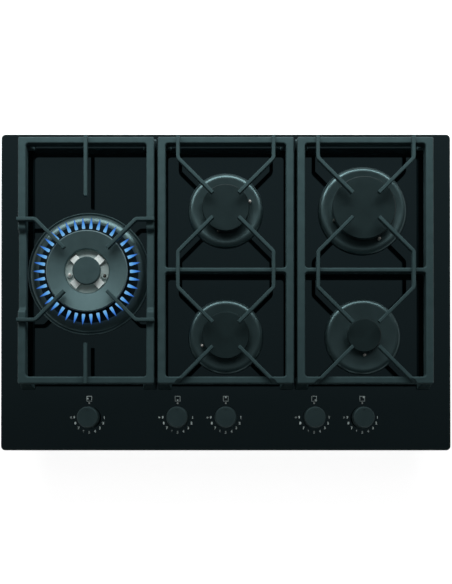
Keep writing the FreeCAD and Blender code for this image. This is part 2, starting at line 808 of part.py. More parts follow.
def wok_core_cap():
    body = new_body("wok_core_cap", WOK.x, WOK.y)
    top = above_glass(S["wok_core_top"])
    under = top - S["cap_thick"]
    radius = S["wok_core_radius"]
    lip = radius - S["core_setback"] - S["core_wall"] - S["free_gap"]
    revolve(body, [
        (0, top),
        (0, under + 1),
        (lip - S["cap_lip"], under + 1),
        (lip - S["cap_lip"], under - S["cap_lip"]),
        (lip, under - S["cap_lip"]),
        (lip, under),
        (radius, under),
        (radius, top - S["cap_bevel"]),
        (radius - S["cap_bevel"], top),
    ])


def spark_plug(burner):
    """Ceramic rod with a collar on the cup's flange and a steel tip."""
    x, y = burner.round_about(burner.spark, burner.spark_turn)
    body = new_body(burner.name + "_spark", burner.x + x, burner.y + y)
    if burner is WOK:
        tip = above_glass(S["wok_cap_top"] - 3)
        low = GLASS_TOP - S["cup_depth"] - 4
        collar_at = GLASS_TOP - S["cup_depth"] + S["cup_wall"]
    else:
        tip = above_glass(S["spark_top"])
        low = GLASS_TOP - DECK_DROP - 8
        collar_at = above_glass(FLANGE_TOP)
    ceramic = S["spark_radius"]
    revolve(body, [
        (0, low),
        (ceramic, low),
        (ceramic, collar_at),
        (ceramic + 1.2, collar_at),
        (ceramic + 1.2, collar_at + 2),
        (ceramic, collar_at + 2),
        (ceramic, tip - 4.5),
        (0.8, tip - 4),
        (0.8, tip),
        (0, tip),
    ])
    return body


def flame_probe(burner):
    """Thermocouple rod with a nut on the cup's flange."""
    x, y = burner.round_about(burner.probe, burner.probe_turn)
    body = new_body(burner.name + "_probe", burner.x + x, burner.y + y)
    if burner is WOK:
        tip = above_glass(S["wok_cap_top"] - 4)
        low = GLASS_TOP - S["cup_depth"] - 4
        rod = THIN_ROD
        nut_at = GLASS_TOP - S["cup_depth"] + S["cup_wall"]
    else:
        tip = above_glass(S["probe_top"])
        low = GLASS_TOP - DECK_DROP - 8
        rod = S["probe_radius"]
        nut_at = above_glass(FLANGE_TOP)
    revolve(body, [
        (0, low),
        (rod, low),
        (rod, nut_at),
        (rod + 1, nut_at),
        (rod + 1, nut_at + 2.5),
        (rod, nut_at + 2.5),
        (rod, tip - 1),
        (rod - 0.6, tip),
        (0, tip),
    ])
    return body


def gas_jet(label, x, y):
    """Brass jet in the cup's floor, with the tube's union nut below."""
    body = new_body(label, x, y)
    bottom = GLASS_TOP - S["cup_depth"]
    low = bottom - 5
    pad(body, "Thread", low, bottom + S["cup_wall"] + 4, circles=[(0, 0, JET_RADIUS - S["fit_gap"])])
    outline = [(Size(a), Size(b)) for a, b in hexagon(0, 0, 7)]
    pad(body, "Nut", low, bottom, outlines=[outline])
    pocket(body, "Orifice", bottom + S["cup_wall"] + 4, bottom, circles=[(0, 0, 0.8)])
    return body


def jet_places():
    """Every jet: name, x, y."""
    places = [(b.name + "_jet", b.x, b.y) for b in BURNERS]
    offset_x, offset_y = WOK_OUTER_JET
    return places + [("wok_outer_jet", WOK.x + offset_x, WOK.y + offset_y)]


def wok_outer_jet():
    """Place of the outer ring's jet, straight behind the wok valve's second outlet."""
    return float(WOK.x + WOK_OUTER_JET[0]), float(WOK.y + WOK_OUTER_JET[1])


# ---------------------------------------------------------------- glass, seal, tray, deck


def glass_panel():
    body = new_body("glass_panel")
    half_width = S["glass_width"] / 2
    half_depth = S["glass_depth"] / 2
    plate = pad(body, "Plate", GLASS_LOW, GLASS_TOP, outlines=[
        rounded_rectangle(-half_width, -half_depth, half_width, half_depth, S["glass_corner"]),
    ])
    burner_holes = [(b.x, b.y, b.hole) for b in BURNERS]
    knob_holes = [(x, KNOB_ROW, S["knob_hole"]) for _, x in KNOB_PLACES]
    holes = pocket(body, "Holes", GLASS_TOP, GLASS_LOW, circles=burner_holes + knob_holes)
    edge = float(half_width) - 0.01
    side = float(half_depth) - 0.01
    corner = float(S["glass_corner"])

    def is_rim(curve, middle):
        level = abs(middle.z - float(GLASS_TOP)) < 1e-6 or abs(middle.z - float(GLASS_LOW)) < 1e-6
        outer = abs(middle.x) > edge or abs(middle.y) > side
        in_corner = abs(middle.x) > edge - corner and abs(middle.y) > side - corner
        return level and (outer or in_corner)

    bevel_edges(body, holes, "GroundEdge", S["glass_bevel"], is_rim)


def worktop_seal():
    body = new_body("worktop_seal")
    out_x = S["glass_width"] / 2 - S["seal_inset"]
    out_y = S["glass_depth"] / 2 - S["seal_inset"]
    in_x = out_x - S["seal_width"]
    in_y = out_y - S["seal_width"]
    corner = S["glass_corner"]
    pad(body, "Strip", 0, GLASS_LOW, outlines=[
        rounded_rectangle(-out_x, -out_y, out_x, out_y, corner),
        rounded_rectangle(-in_x, -in_y, in_x, in_y, corner / 2),
    ])


def bottom_tray():
    """Deep-drawn tray, open to the glass, with a lip bonded under it."""
    body = new_body("bottom_tray")
    half_width = TRAY_WIDTH / 2
    half_depth = TRAY_DEPTH / 2
    corner = S["tray_corner"]
    thick = S["sheet"]
    pad(body, "Box", -S["tray_drop"], GLASS_LOW, outlines=[
        rounded_rectangle(-half_width, -half_depth, half_width, half_depth, corner),
    ])
    lip_x = half_width + S["tray_lip"]
    lip_y = half_depth + S["tray_lip"]
    pad(body, "Lip", GLASS_LOW - thick, GLASS_LOW, outlines=[
        rounded_rectangle(-lip_x, -lip_y, lip_x, lip_y, corner + S["tray_lip"]),
    ])
    in_x = half_width - thick
    in_y = half_depth - thick
    pocket(body, "Hollow", GLASS_LOW, thick - S["tray_drop"], outlines=[
        rounded_rectangle(-in_x, -in_y, in_x, in_y, corner - thick),
    ])
    inlet_hole = (INLET_SIDE, INLET_BACK, S["shank_radius"] + S["free_gap"])
    pocket(body, "InletHole", thick - S["tray_drop"], -S["tray_drop"], circles=[inlet_hole])
    cable = new_sketch(body, "CableHoleSketch", "XZ_Plane", -half_depth)
    draw_circles(cable, [(CABLE_SIDE, -CABLE_DROP, CABLE_RADIUS)])
    hole = body.newObject("PartDesign::Pocket", "CableHole")
    hole.Profile = cable
    hole.setExpression("Length", (2 * thick).text)
    hole.Reversed = True
    clamp_holes = new_sketch(body, "ClampHolesSketch", "YZ_Plane", -half_width - 1)
    spots = [(Size(row), CLAMP_SCREW, SCREW_RADIUS + S["fit_gap"]) for row in CLAMP_ROWS]
    draw_circles(clamp_holes, spots)
    through = body.newObject("PartDesign::Pocket", "ClampHoles")
    through.Profile = clamp_holes
    through.setExpression("Length", (TRAY_WIDTH + 2).text)
    through.Reversed = True
    return body


def burner_deck():
    """Steel deck between the tray's sides that carries the five burner cups."""
    body = new_body("burner_deck")
    half_width = TRAY_WIDTH / 2 - S["sheet"]
    back = TRAY_DEPTH / 2 - S["tray_corner"]
    front = FRONT_ROW - S["deck_front"]
    top = GLASS_TOP - DECK_DROP
    low = top - S["sheet"]
    pad(body, "Plate", low, top, outlines=[rectangle(-half_width, front, half_width, back)])
    strips = []
    for side in (-1, 1):
        outer = half_width * side
        inner = (half_width - S["sheet"]) * side
        left = outer if side < 0 else inner
        right = inner if side < 0 else outer
        strips.append(rectangle(left, front, right, back))
    pad(body, "SideFlanges", low - 10, low, outlines=strips)
    circles = []
    for burner in BURNERS:
        circles.append((burner.x, burner.y, burner.cup + S["fit_gap"]))
        for x, y in screw_places(burner):
            circles.append((burner.x + x, burner.y + y, SCREW_RADIUS + S["fit_gap"]))
    for burner in PLAIN_BURNERS:
        for radius, turn, rod in (
            (burner.spark, burner.spark_turn, S["spark_radius"]),
            (burner.probe, burner.probe_turn, S["probe_radius"]),
        ):
            x, y = burner.round_about(radius, turn)
            circles.append((burner.x + x, burner.y + y, rod + S["free_gap"]))
    pocket(body, "Holes", top, low, circles=circles)


# ---------------------------------------------------------------- pan supports


def column_of(name):
    return {"left": -COLUMN, "middle": Size(0), "right": COLUMN}[name]


def grate_frame(name):
    """Cast frame of one pan support: bars, windows and four legs."""
    x = column_of(name)
    body = new_body(name + "_grate_frame", x)
    half = GRATE_WIDTH / 2
    top = above_glass(S["frame_top"])
    low = top - S["frame_tall"]
    outline = rounded_rectangle(-half, GRATE_FRONT, half, GRATE_BACK, S["frame_outer_corner"])
    pad(body, "Frame", low, top, outlines=[outline])
    inner_x = half - S["side_bar"]
    inner_front = GRATE_FRONT + S["front_bar"]
    inner_back = GRATE_BACK - S["back_bar"]
    half_cross = S["cross_bar"] / 2
    if name == "left":
        windows = [rounded_rectangle(-inner_x, inner_front, inner_x, inner_back, S["frame_corner"])]
    else:
        windows = [
            rounded_rectangle(-inner_x, inner_front, inner_x, MID_ROW - half_cross, S["frame_corner"]),
            rounded_rectangle(-inner_x, MID_ROW + half_cross, inner_x, inner_back, S["frame_corner"]),
        ]
    cut = pocket(body, "Windows", top, low, outlines=windows)
    if name == "left":
        cut = dip_side_bars(body, top, half)
    lowest = float(top - S["dip_fall"]) - 0.01

    def is_top(curve, middle):
        ends = [vertex.Point for vertex in curve.Vertexes]
        across = abs(ends[0].y - ends[-1].y) < 1e-6 and abs(middle.y - float(MID_ROW)) < dip_reach()
        return middle.z > lowest and not across

    round_edges(body, cut, "TopEdges", S["frame_round"], is_top)
    for number, (side, end) in enumerate(LEG_CORNERS, 1):
        tapered_leg(body, f"Leg{number}", side, end, low + 2)
    return body


def dip_reach():
    """How far the dips' curves reach from the wok burner's middle line, front and back."""
    return float(S["wok_finger_row"])


def dip_side_bars(body, top, half):
    """Both side bars fall in a curve to a lower level between the two fingers that start on them."""
    start = S["wok_finger_row"] - S["finger_wide"] / 2 - S["dip_flat"]
    end = start - S["dip_run"]
    between = (start + end) / 2
    bottom = top - S["dip_fall"]
    half_way = (top + bottom) / 2
    curve = (S["dip_run"] * S["dip_run"] + S["dip_fall"] * S["dip_fall"]) / (4 * S["dip_fall"])
    sketch = new_sketch(body, "DipSketch", "YZ_Plane", -half - 1)
    draw_outline(sketch, [
        (MID_ROW - start, top, curve, "left"),
        (MID_ROW - between, half_way, curve, "right"),
        (MID_ROW - end, bottom),
        (MID_ROW + end, bottom, curve, "right"),
        (MID_ROW + between, half_way, curve, "left"),
        (MID_ROW + start, top),
        (MID_ROW + start, top + 1),
        (MID_ROW - start, top + 1),
    ])
    cut = body.newObject("PartDesign::Pocket", "Dips")
    cut.Profile = sketch
    cut.Reversed = True
    cut.setExpression("Length", (2 * half + 2).text)
    return cut


LEG_CORNERS = ((-1, -1), (-1, 1), (1, -1), (1, 1))


def corner_box(side, end, wide, deep, aside, ahead):
    """Box at one corner of a pan support: left, front, right, back."""
    out_x = side * (GRATE_WIDTH / 2 + aside)
    in_x = out_x - side * wide
    edge = GRATE_BACK if end > 0 else GRATE_FRONT
    out_y = edge + end * ahead
    in_y = out_y - end * deep
    if side < 0:
        left, right = out_x, in_x
    else:
        left, right = in_x, out_x
    if end < 0:
        front, back = out_y, in_y
    else:
        front, back = in_y, out_y
    return left, front, right, back


def foot_box(side, end):
    return corner_box(side, end, S["foot_wide"], S["foot_deep"], S["foot_aside"], S["foot_ahead"])


def bevelled_rectangle(left, front, right, back, cut):
    return [
        (left + cut, front),
        (right - cut, front),
        (right, front + cut),
        (right, back - cut),
        (right - cut, back),
        (left + cut, back),
        (left, back - cut),
        (left, front + cut),
    ]


def tapered_leg(body, name, side, end, high):
    """Cast leg that widens to its foot, most of all away from the pan support."""
    head = corner_box(side, end, S["leg_wide"], S["leg_deep"], Size(0), Size(0))
    upper = new_sketch(body, name + "Head", "XY_Plane", high)
    draw_outline(upper, bevelled_rectangle(*head, S["leg_bevel"]))
    lower = new_sketch(body, name + "Foot", "XY_Plane", above_glass(S["pad_tall"]))
    draw_outline(lower, bevelled_rectangle(*foot_box(side, end), S["leg_bevel"]))
    leg = body.newObject("PartDesign::AdditiveLoft", name)
    leg.Profile = upper
    leg.Sections = [lower]
    leg.Ruled = True
    return leg


def leg_places():
    """Centres of a pan support's feet, in its own column."""
    places = []
    for side, end in LEG_CORNERS:
        left, front, right, back = foot_box(side, end)
        places.append(((left + right) / 2, (front + back) / 2))
    return places


def bar_section(start, way, width, low, high, rounding):
    """Upright section of a finger, square to its way: flat sides and a rounded top."""
    across = V(-way.y, way.x, 0).normalize()
    half = width / 2

    def at(side, height):
        return V(start.x, start.y, height) + across * side

    corner = rounding * (1 - math.sqrt(0.5))
    left_arc = Part.Arc(
        at(-half, high - rounding), at(-half + corner, high - corner), at(-half + rounding, high)
    )
    right_arc = Part.Arc(
        at(half - rounding, high), at(half - corner, high - corner), at(half, high - rounding)
    )
    return Part.Wire([
        Part.LineSegment(at(-half, low), at(-half, high - rounding)).toShape(),
        left_arc.toShape(),
        Part.LineSegment(at(-half + rounding, high), at(half - rounding, high)).toShape(),
        right_arc.toShape(),
        Part.LineSegment(at(half, high - rounding), at(half, low)).toShape(),
        Part.LineSegment(at(half, low), at(-half, low)).toShape(),
    ])


def finger(points):
    """A pan-support finger along a bent centre line, all at one height."""
    high = float(above_glass(S["finger_top"]))
    low = high - float(S["finger_tall"])
    spots = [V(float(x), float(y), low) for x, y in points]
    path = bent_path(spots, float(S["finger_bend"]))
    way = spots[1] - spots[0]
    section = bar_section(
        spots[0], way, float(S["finger_wide"]), low, high, float(S["finger_round"])
    )
    return path.makePipeShell([section], True, False)


def wok_fingers():
    """Four bent fingers round the wok burner and two straight prongs."""
    x = -COLUMN
    y = MID_ROW
    out = GRATE_WIDTH / 2
    row = S["wok_finger_row"]
    bend = S["wok_tip"] + row - S["wok_tip"]
    shapes = []
    for side in (-1, 1):
        for row_side in (-1, 1):
            shapes.append(finger([
                (x + side * (out + 0.6), y + row_side * row),
                (x + side * bend, y + row_side * row),
                (x + side * S["wok_tip"], y + row_side * S["wok_tip"]),
            ]))
    shapes.append(finger([(x, GRATE_BACK), (x, y + S["prong_reach"])]))
    shapes.append(finger([(x, GRATE_FRONT + 0.5), (x, y - S["prong_reach"])]))
    return shapes


def pair_fingers(column):
    """Bent fingers over the two burners of one column."""
    side_x = S["finger_side"]
    tip_x = S["tip_side"]
    run = side_x - tip_x
    back_tip = BACK_ROW + S["tip_deep"]
    back_low = BACK_ROW - S["tip_deep"]
    front_tip = FRONT_ROW + S["tip_deep"]
    front_low = FRONT_ROW - S["tip_deep"]
    reach = front_low - GRATE_FRONT - 1
    shapes = []
    for side in (-1, 1):
        shapes.append(finger([
            (column + side * side_x, GRATE_BACK),
            (column + side * side_x, back_tip + run),
            (column + side * tip_x, back_tip),
        ]))
        shapes.append(finger([
            (column + side * tip_x, back_low),
            (column + side * side_x, back_low - run),
            (column + side * side_x, front_tip + run),
            (column + side * tip_x, front_tip),
        ]))
        outer = finger([
            (column + side * (tip_x + reach), front_low - reach),
            (column + side * tip_x, front_low),
        ])
        shapes.append(outer.cut(front_drop()))
    return shapes


def front_drop():
    """Wedge that slopes a front finger down onto the front bar."""
    high = float(above_glass(S["finger_top"])) + 1
    low = float(above_glass(S["frame_top"])) - 1
    front = float(GRATE_FRONT) - 2
    back = float(GRATE_FRONT + S["front_bar"]) - 2
    half = float(S["glass_width"]) / 2
    points = [V(-half, front, high), V(-half, back, high), V(-half, front, low)]
    face = Part.Face(Part.makePolygon(points + points[:1]))
    return face.extrude(V(2 * half, 0, 0))


def grate(name):
    """One pan support: the frame and its fingers cast in one piece."""
    frame = grate_frame(name)
    column = column_of(name)
    shapes = wok_fingers() if name == "left" else pair_fingers(column)
    parts = [frame]
    for number, shape in enumerate(shapes, 1):
        parts.append(set_shape(f"{name}_finger_{number}", shape))
    fused = doc.addObject("Part::MultiFuse", name + "_grate")
    fused.Label = name + "_grate"
    fused.Shapes = parts
    fused.Refine = True
    return fused


def grate_pads(name):
    """Four rubber pads under one pan support."""
    column = column_of(name)
    pads = []
    for number, (x, y) in enumerate(leg_places(), 1):
        cone = doc.addObject("Part::Cone", f"{name}_pad_{number}")
        cone.setExpression("Radius1", (S["pad_radius"] - 0.6).text)
        cone.setExpression("Radius2", S["pad_radius"].text)
        cone.setExpression("Height", S["pad_tall"].text)
        cone.setExpression("Placement.Base.x", (column + x).text)
        cone.setExpression("Placement.Base.y", y.text)
        cone.setExpression("Placement.Base.z", GLASS_TOP.text)
        pads.append(cone)
    return group(name + "_grate_pads", pads)


# ---------------------------------------------------------------- knobs, stems, valves


def stem_outline(radius, flat):
    """Round section with one flat, the flat towards the front."""
    level = radius - flat
    reach = math.sqrt(float(radius) ** 2 - float(level) ** 2)
    return [(Size(reach), -level, radius, "right", "long"), (Size(-reach), -level)]


def knob(name, x):
    """Hollow moulded knob with a boss for the stem and a pointer notch at its back edge."""
    body = new_body("knob_" + name, x, KNOB_ROW)
    low = above_glass(S["knob_gap"])
    top = above_glass(S["knob_top"])
    wall = S["knob_wall"]
    face = S["knob_face"]
    rim = S["knob_bevel"]
    boss = S["stem_radius"] + 2.5
    inside = top - wall - 1
    revolve(body, [
        (0, top),
        (0, low + 3),
        (boss, low + 3),
        (boss, inside),
        (face - wall, inside),
        (S["knob_radius"] - wall, low),
        (S["knob_radius"], low),
        (S["knob_radius"], low + 1.5),
        (face, top - rim),
        (face - rim, top),
    ])
    notch = [
        (Size(-2), face - 5.5),
        (Size(-1.3), face - 6.1),
        (0, face - 5.1),
        (Size(1.3), face - 6.1),
        (Size(2), face - 5.5),
        (0, face - 4),
    ]
    pocket(body, "PointerNotch", top, top - 0.8, outlines=[notch])
    bore = stem_outline(S["stem_radius"] + S["fit_gap"], S["stem_flat"])
    sketch = new_sketch(body, "StemBoreSketch", "XY_Plane", low + 3)
    draw_outline(sketch, bore)
    hole = body.newObject("PartDesign::Pocket", "StemBore")
    hole.Profile = sketch
    hole.Reversed = True
    hole.setExpression("Length", (above_glass(STEM_HIGH) + 0.3 - low - 3).text)


def valve_stem(name, x):
    """Steel stem from the knob down into the valve's plug, with a flat at each end."""
    body = new_body("stem_" + name, x, KNOB_ROW)
    low = GLASS_TOP - STEM_LOW
    top = above_glass(STEM_HIGH)
    radius = S["stem_radius"]
    pad(body, "Rod", low, top, circles=[(0, 0, radius)])
    flat = rectangle(-radius, -radius - 1, radius, S["stem_flat"] - radius)
    pocket(body, "KnobFlat", top, above_glass(S["knob_gap"]), outlines=[flat])
    pocket(body, "PlugFlat", low + S["plug_tall"], low, outlines=[flat])


def valve_plug(name, x):
    """Tapered plug that turns in the valve and meters the gas, driven by the stem's flat."""
    body = new_body("plug_" + name, x, KNOB_ROW)
    low = GLASS_TOP - PLUG_LOW
    top = low + S["plug_tall"]
    revolve(body, [
        (0, low),
        (S["plug_slim"], low),
        (S["plug_wide"], top),
        (0, top),
    ])
    bore = stem_outline(S["stem_radius"] + S["fit_gap"], S["stem_flat"])
    pocket(body, "StemBore", top, low, outlines=[bore])


def gas_valve(name, x):
    """Cast valve: block, neck, saddle on the gas rail, outlet boss and the plug's tapered bore."""
    body = new_body("valve_" + name, x, KNOB_ROW)
    half = S["valve_width"] / 2
    right = half + (5 if name == "wok" else 0)
    bottom = GLASS_TOP - S["valve_drop"]
    top = bottom + S["valve_tall"]
    neck_top = above_glass(FLANGE_TOP)
    pad(body, "Block", bottom, top, outlines=[
        rectangle(-half, -S["valve_front"], right, S["valve_back"]),
    ])
    pad(body, "Neck", top, neck_top, circles=[(0, 0, S["valve_neck"])])
    gap = S["fit_gap"]
    plug_low = GLASS_TOP - PLUG_LOW - S["free_gap"]
    plug_high = GLASS_TOP - PLUG_LOW + S["plug_tall"] + S["free_gap"]
    groove = body.newObject("PartDesign::Groove", "PlugBore")
    profile = new_sketch(body, "PlugBoreProfile", "XZ_Plane")
    room = S["stem_radius"] + S["free_gap"]
    draw_outline(profile, [
        (0, plug_low),
        (S["plug_slim"] + gap, plug_low),
        (S["plug_slim"] + gap, GLASS_TOP - PLUG_LOW),
        (S["plug_wide"] + gap, GLASS_TOP - PLUG_LOW + S["plug_tall"]),
        (S["plug_wide"] + gap, plug_high),
        (room, plug_high),
        (room, neck_top + 1),
        (0, neck_top + 1),
    ])
    groove.Profile = profile
    groove.ReferenceAxis = (profile, ["V_Axis"])
    groove.Angle = 360
    saddle = new_sketch(body, "SaddleSketch", "YZ_Plane", -half - 1)
    draw_circles(saddle, [(-S["rail_offset"], GLASS_TOP - S["rail_drop"], S["rail_radius"] + gap)])
    cut = body.newObject("PartDesign::Pocket", "Saddle")
    cut.Profile = saddle
    cut.Reversed = True
    cut.setExpression("Length", (right + half + 2).text)
    outlet = new_sketch(body, "OutletSketch", "XZ_Plane", -S["valve_back"])
    sides = (0, WOK_OUTER_JET[0]) if name == "wok" else (0,)
    height = GLASS_TOP - S["tube_drop"]
    draw_circles(outlet, [(side, height, S["tube_radius"] + 1.5) for side in sides])
    boss = body.newObject("PartDesign::Pad", "Outlet")
    boss.Profile = outlet
    boss.setExpression("Length", OUTLET_LONG.text)
    boss.Reversed = True
    return body


def knob_gasket(name, x):
    """Silicone collar in the glass's knob hole."""
    body = new_body("gasket_" + name, x, KNOB_ROW)
    inner = S["stem_radius"] + S["free_gap"]
    hole = S["knob_hole"] - S["fit_gap"]
    lip = S["knob_hole"] + 2
    revolve(body, [
        (inner, GLASS_LOW - 1),
        (lip, GLASS_LOW - 1),
        (lip, GLASS_LOW),
        (hole, GLASS_LOW),
        (hole, GLASS_TOP),
        (inner, GLASS_TOP),
    ])
    return body


def ignition_switch(name, x):
    """Spark switch beside a valve's neck."""
    body = new_body("switch_" + name, x, KNOB_ROW)
    low = GLASS_TOP - S["valve_drop"] + S["valve_tall"]
    near = S["valve_neck"] + S["free_gap"]
    pad(body, "Case", low, low + 9, outlines=[
        rectangle(Size(-10), near, Size(10), near + 8),
    ])
    pad(body, "Button", low + 9, low + 11, circles=[(4, near + 4, 1.5)])
    return body


# ---------------------------------------------------------------- gas pipes


def gas_rail():
    """Steel rail pipe along the front, bent back to the inlet, closed at its left end."""
    height = float(GLASS_TOP - S["rail_drop"])
    y = float(KNOB_ROW - S["rail_offset"])
    x = float(INLET_SIDE)
    points = [
        V(-float(RAIL_END), y, height),
        V(x, y, height),
        V(x, float(INLET_BACK) - 16, height),
    ]
    pipe = round_tube(points, float(S["rail_radius"]), float(S["rail_bend"]))
    stop = Part.makeCylinder(float(S["rail_radius"]) + 1.5, 8, points[0] - V(6, 0, 0), V(1, 0, 0))
    set_shape("gas_rail", pipe.fuse(stop).removeSplitter())


def hexagon(x, y, reach):
    """Corner points of a nut round a centre."""
    turns = [math.radians(60 * corner) for corner in range(6)]
    return [(x + reach * math.cos(turn), y + reach * math.sin(turn)) for turn in turns]


def inlet_elbow():
    """Brass elbow: socket on the rail, collar on the tray's floor, shank through it, thread below."""
    x = float(INLET_SIDE)
    y = float(INLET_BACK)
    rail = float(GLASS_TOP - S["rail_drop"])
    floor = float(S["sheet"] - S["tray_drop"])
    nut_low = -float(S["tray_drop"]) - float(S["locknut_tall"])
    low = -float(S["tray_drop"]) - float(S["inlet_long"])
    radius = float(S["inlet_radius"])
    shank_radius = float(S["shank_radius"])
    thread = Part.makeCylinder(radius, nut_low - low, V(x, y, low))
    thread = thread.makeChamfer(0.8, [min(thread.Edges, key=lambda e: e.CenterOfMass.z)])
    shank = Part.makeCylinder(shank_radius, floor - nut_low, V(x, y, nut_low))
    collar = Part.makeCylinder(shank_radius + 4, 4, V(x, y, floor))
    riser = Part.makeCylinder(shank_radius, rail - floor, V(x, y, floor))
    knee = Part.makeSphere(shank_radius, V(x, y, rail))
    socket = Part.makeCylinder(shank_radius + 1, 16, V(x, y - 16, rail), V(0, 1, 0))
    elbow = thread.multiFuse([shank, collar, riser, knee, socket]).removeSplitter()
    set_shape("inlet_elbow", elbow)


def inlet_locknut():
    """Flat nut that clamps the elbow to the tray's underside."""
    body = new_body("inlet_locknut", INLET_SIDE, INLET_BACK)
    outline = [(Size(x), Size(y)) for x, y in hexagon(0, 0, 16.5)]
    bore = (0, 0, S["shank_radius"] + S["fit_gap"])
    pad(body, "Nut", -S["tray_drop"] - S["locknut_tall"], -S["tray_drop"], [outline], [bore])


def tube_routes():
    """Centre lines of the six gas tubes, from valve outlet to jet."""
    level = float(GLASS_TOP - S["tube_drop"])
    jet_low = float(GLASS_TOP - S["cup_depth"]) - 5
    start = float(KNOB_ROW + S["valve_back"] + OUTLET_LONG)
    col = float(COLUMN)
    back = float(BACK_ROW)
    front = float(FRONT_ROW)
    mid = float(MID_ROW)
    aside = float(S["bypass"])
    pair = float(S["knob_pair"])

    def route(*points):
        flat = [V(x, y, level) for x, y in points]
        end = flat[-1]
        return flat + [V(end.x, end.y, jet_low)]

    outer_x, outer_y = wok_outer_jet()
    return [
        route((-col, start), (-col, mid)),
        route((outer_x, start), (outer_x, outer_y)),
        route((-pair, start), (-pair, front), (0, front)),
        route((0, start), (0, start + 25), (aside, front - 30), (aside, back - 50), (0, back)),
        route((col - pair, start), (col - pair, front), (col, front)),
        route(
            (col, start), (col, start + 25), (col + aside, front - 30),
            (col + aside, back - 50), (col, back),
        ),
    ]


def gas_tubes():
    tubes = []
    for number, points in enumerate(tube_routes(), 1):
        tube = round_tube(points, float(S["tube_radius"]), float(S["tube_bend"]))
        tubes.append(set_shape(f"gas_tube_{number}", tube))
    return group("gas_tubes", tubes)


# ---------------------------------------------------------------- electrical parts, clamps, screws


def spark_generator():
    """Moulded spark generator on the tray's floor with its row of output posts."""
    body = new_body("spark_generator", -COLUMN + 8, TRAY_DEPTH / 2 - 47)
    low = S["sheet"] - S["tray_drop"]
    pad(body, "Case", low, low + 26, outlines=[
        rounded_rectangle(Size(-36), Size(-20), Size(36), Size(20), Size(3)),
    ])
    pad(body, "Feet", low, low + 3, outlines=[
        rectangle(Size(-44), Size(-7), Size(-36), Size(7)),
        rectangle(Size(36), Size(-7), Size(44), Size(7)),
    ])
    posts = [(Size(-25 + 10 * i), Size(-8), Size(2.5)) for i in range(6)]
    pad(body, "Posts", low + 26, low + 31, circles=posts)


def terminal_block():
    """Mains terminal block on the tray's floor beside the cable hole."""
    body = new_body("terminal_block", CABLE_SIDE - 45, TRAY_DEPTH / 2 - S["sheet"] - 34)
    low = S["sheet"] - S["tray_drop"]
    pad(body, "Base", low, low + 14, outlines=[
        rectangle(Size(-24), Size(-9), Size(24), Size(9)),
    ])
    walls = [rectangle(Size(a), Size(-9), Size(a + 2), Size(9)) for a in (-24, -9, 7, 22)]
    pad(body, "Walls", low + 14, low + 19, outlines=walls)
    screws = [(Size(a), Size(0), Size(3)) for a in (-15.5, 0, 15.5)]
    pocket(body, "ScrewWells", low + 14, low + 9, circles=screws)


def worktop_clamp(side, row):
    """Bent strip screwed to the tray's side, its foot under the worktop."""
    side_name = "left" if side < 0 else "right"
    row_name = "front" if row < 0 else "back"
    body = new_body(f"clamp_{side_name}_{row_name}", None, Size(row))
    wall = TRAY_WIDTH / 2
    thick = CLAMP_THICK
    leaf = rectangle(wall, Size(-10), wall + thick, Size(10))
    foot = rectangle(wall, Size(-10), wall + 16, Size(10))
    pad(body, "Leaf", 3 - S["tray_drop"], Size(-12), outlines=[leaf])
    pad(body, "Foot", -CLAMP_FOOT, thick - CLAMP_FOOT, outlines=[foot])
    hole = new_sketch(body, "HoleSketch", "YZ_Plane", wall - 1)
    draw_circles(hole, [(0, CLAMP_SCREW, SCREW_RADIUS + S["fit_gap"])])
    cut = body.newObject("PartDesign::Pocket", "Hole")
    cut.Profile = hole
    cut.Reversed = True
    cut.Length = 4
    if side < 0:
        body.Placement = FreeCAD.Placement(V(0, 0, 0), FreeCAD.Rotation(V(0, 0, 1), 180))
        body.setExpression("Placement.Base.y", Size(row).text)
    return body


def screw_shape():
    """Pan-head screw at the origin, its head above the XY plane."""
    head = Part.makeCylinder(3.6, 2.2)
    head = head.makeChamfer(0.7, [max(head.Edges, key=lambda e: e.CenterOfMass.z)])
    shank = Part.makeCylinder(SCREW_RADIUS, 7, V(0, 0, -7))
    return head.fuse(shank).removeSplitter()


def screws():
    items = []
    flange = float(above_glass(FLANGE_TOP))
    for burner in BURNERS:
        for number, (x, y) in enumerate(screw_places(burner), 1):
            item = set_shape(f"{burner.name}_screw_{number}", screw_shape())
            item.Placement = FreeCAD.Placement(
                V(float(burner.x + x), float(burner.y + y), flange), FreeCAD.Rotation()
            )
            items.append(item)
    outside = float(TRAY_WIDTH / 2 + CLAMP_THICK)
    for side in (-1, 1):
        for row in CLAMP_ROWS:
            item = set_shape("clamp_screw", screw_shape())
            item.Placement = FreeCAD.Placement(
                V(side * outside, row, float(CLAMP_SCREW)), FreeCAD.Rotation(V(0, 0, 1), V(side, 0, 0))
            )
            items.append(item)
    return items


# ---------------------------------------------------------------- assembly


def build():
    glass_panel()
    worktop_seal()
    bottom_tray()
    burner_deck()
    for burner in BURNERS:
        trim_ring(burner)
        burner_cup(burner)
    for burner in PLAIN_BURNERS:
        burner_head(burner)
        burner_cap(burner)
    wok_head()
    wok_outer_cap()
    wok_core_cap()
    group("spark_plugs", [spark_plug(b) for b in BURNERS])
    group("flame_probes", [flame_probe(b) for b in BURNERS])
    group("gas_jets", [gas_jet(*place) for place in jet_places()])
    for name in ("left", "middle", "right"):
        grate(name)
        grate_pads(name)
    for name, x in KNOB_PLACES:
        knob(name, x)
        valve_stem(name, x)
        valve_plug(name, x)
    group("gas_valves", [gas_valve(name, x) for name, x in KNOB_PLACES])
    group("knob_gaskets", [knob_gasket(name, x) for name, x in KNOB_PLACES])
    group("ignition_switches", [ignition_switch(name, x) for name, x in KNOB_PLACES])
    gas_rail()
    inlet_elbow()
    inlet_locknut()
    gas_tubes()
    spark_generator()
    terminal_block()
    group("worktop_clamps", [worktop_clamp(side, row) for side in (-1, 1) for row in CLAMP_ROWS])
    group("screws", screws())


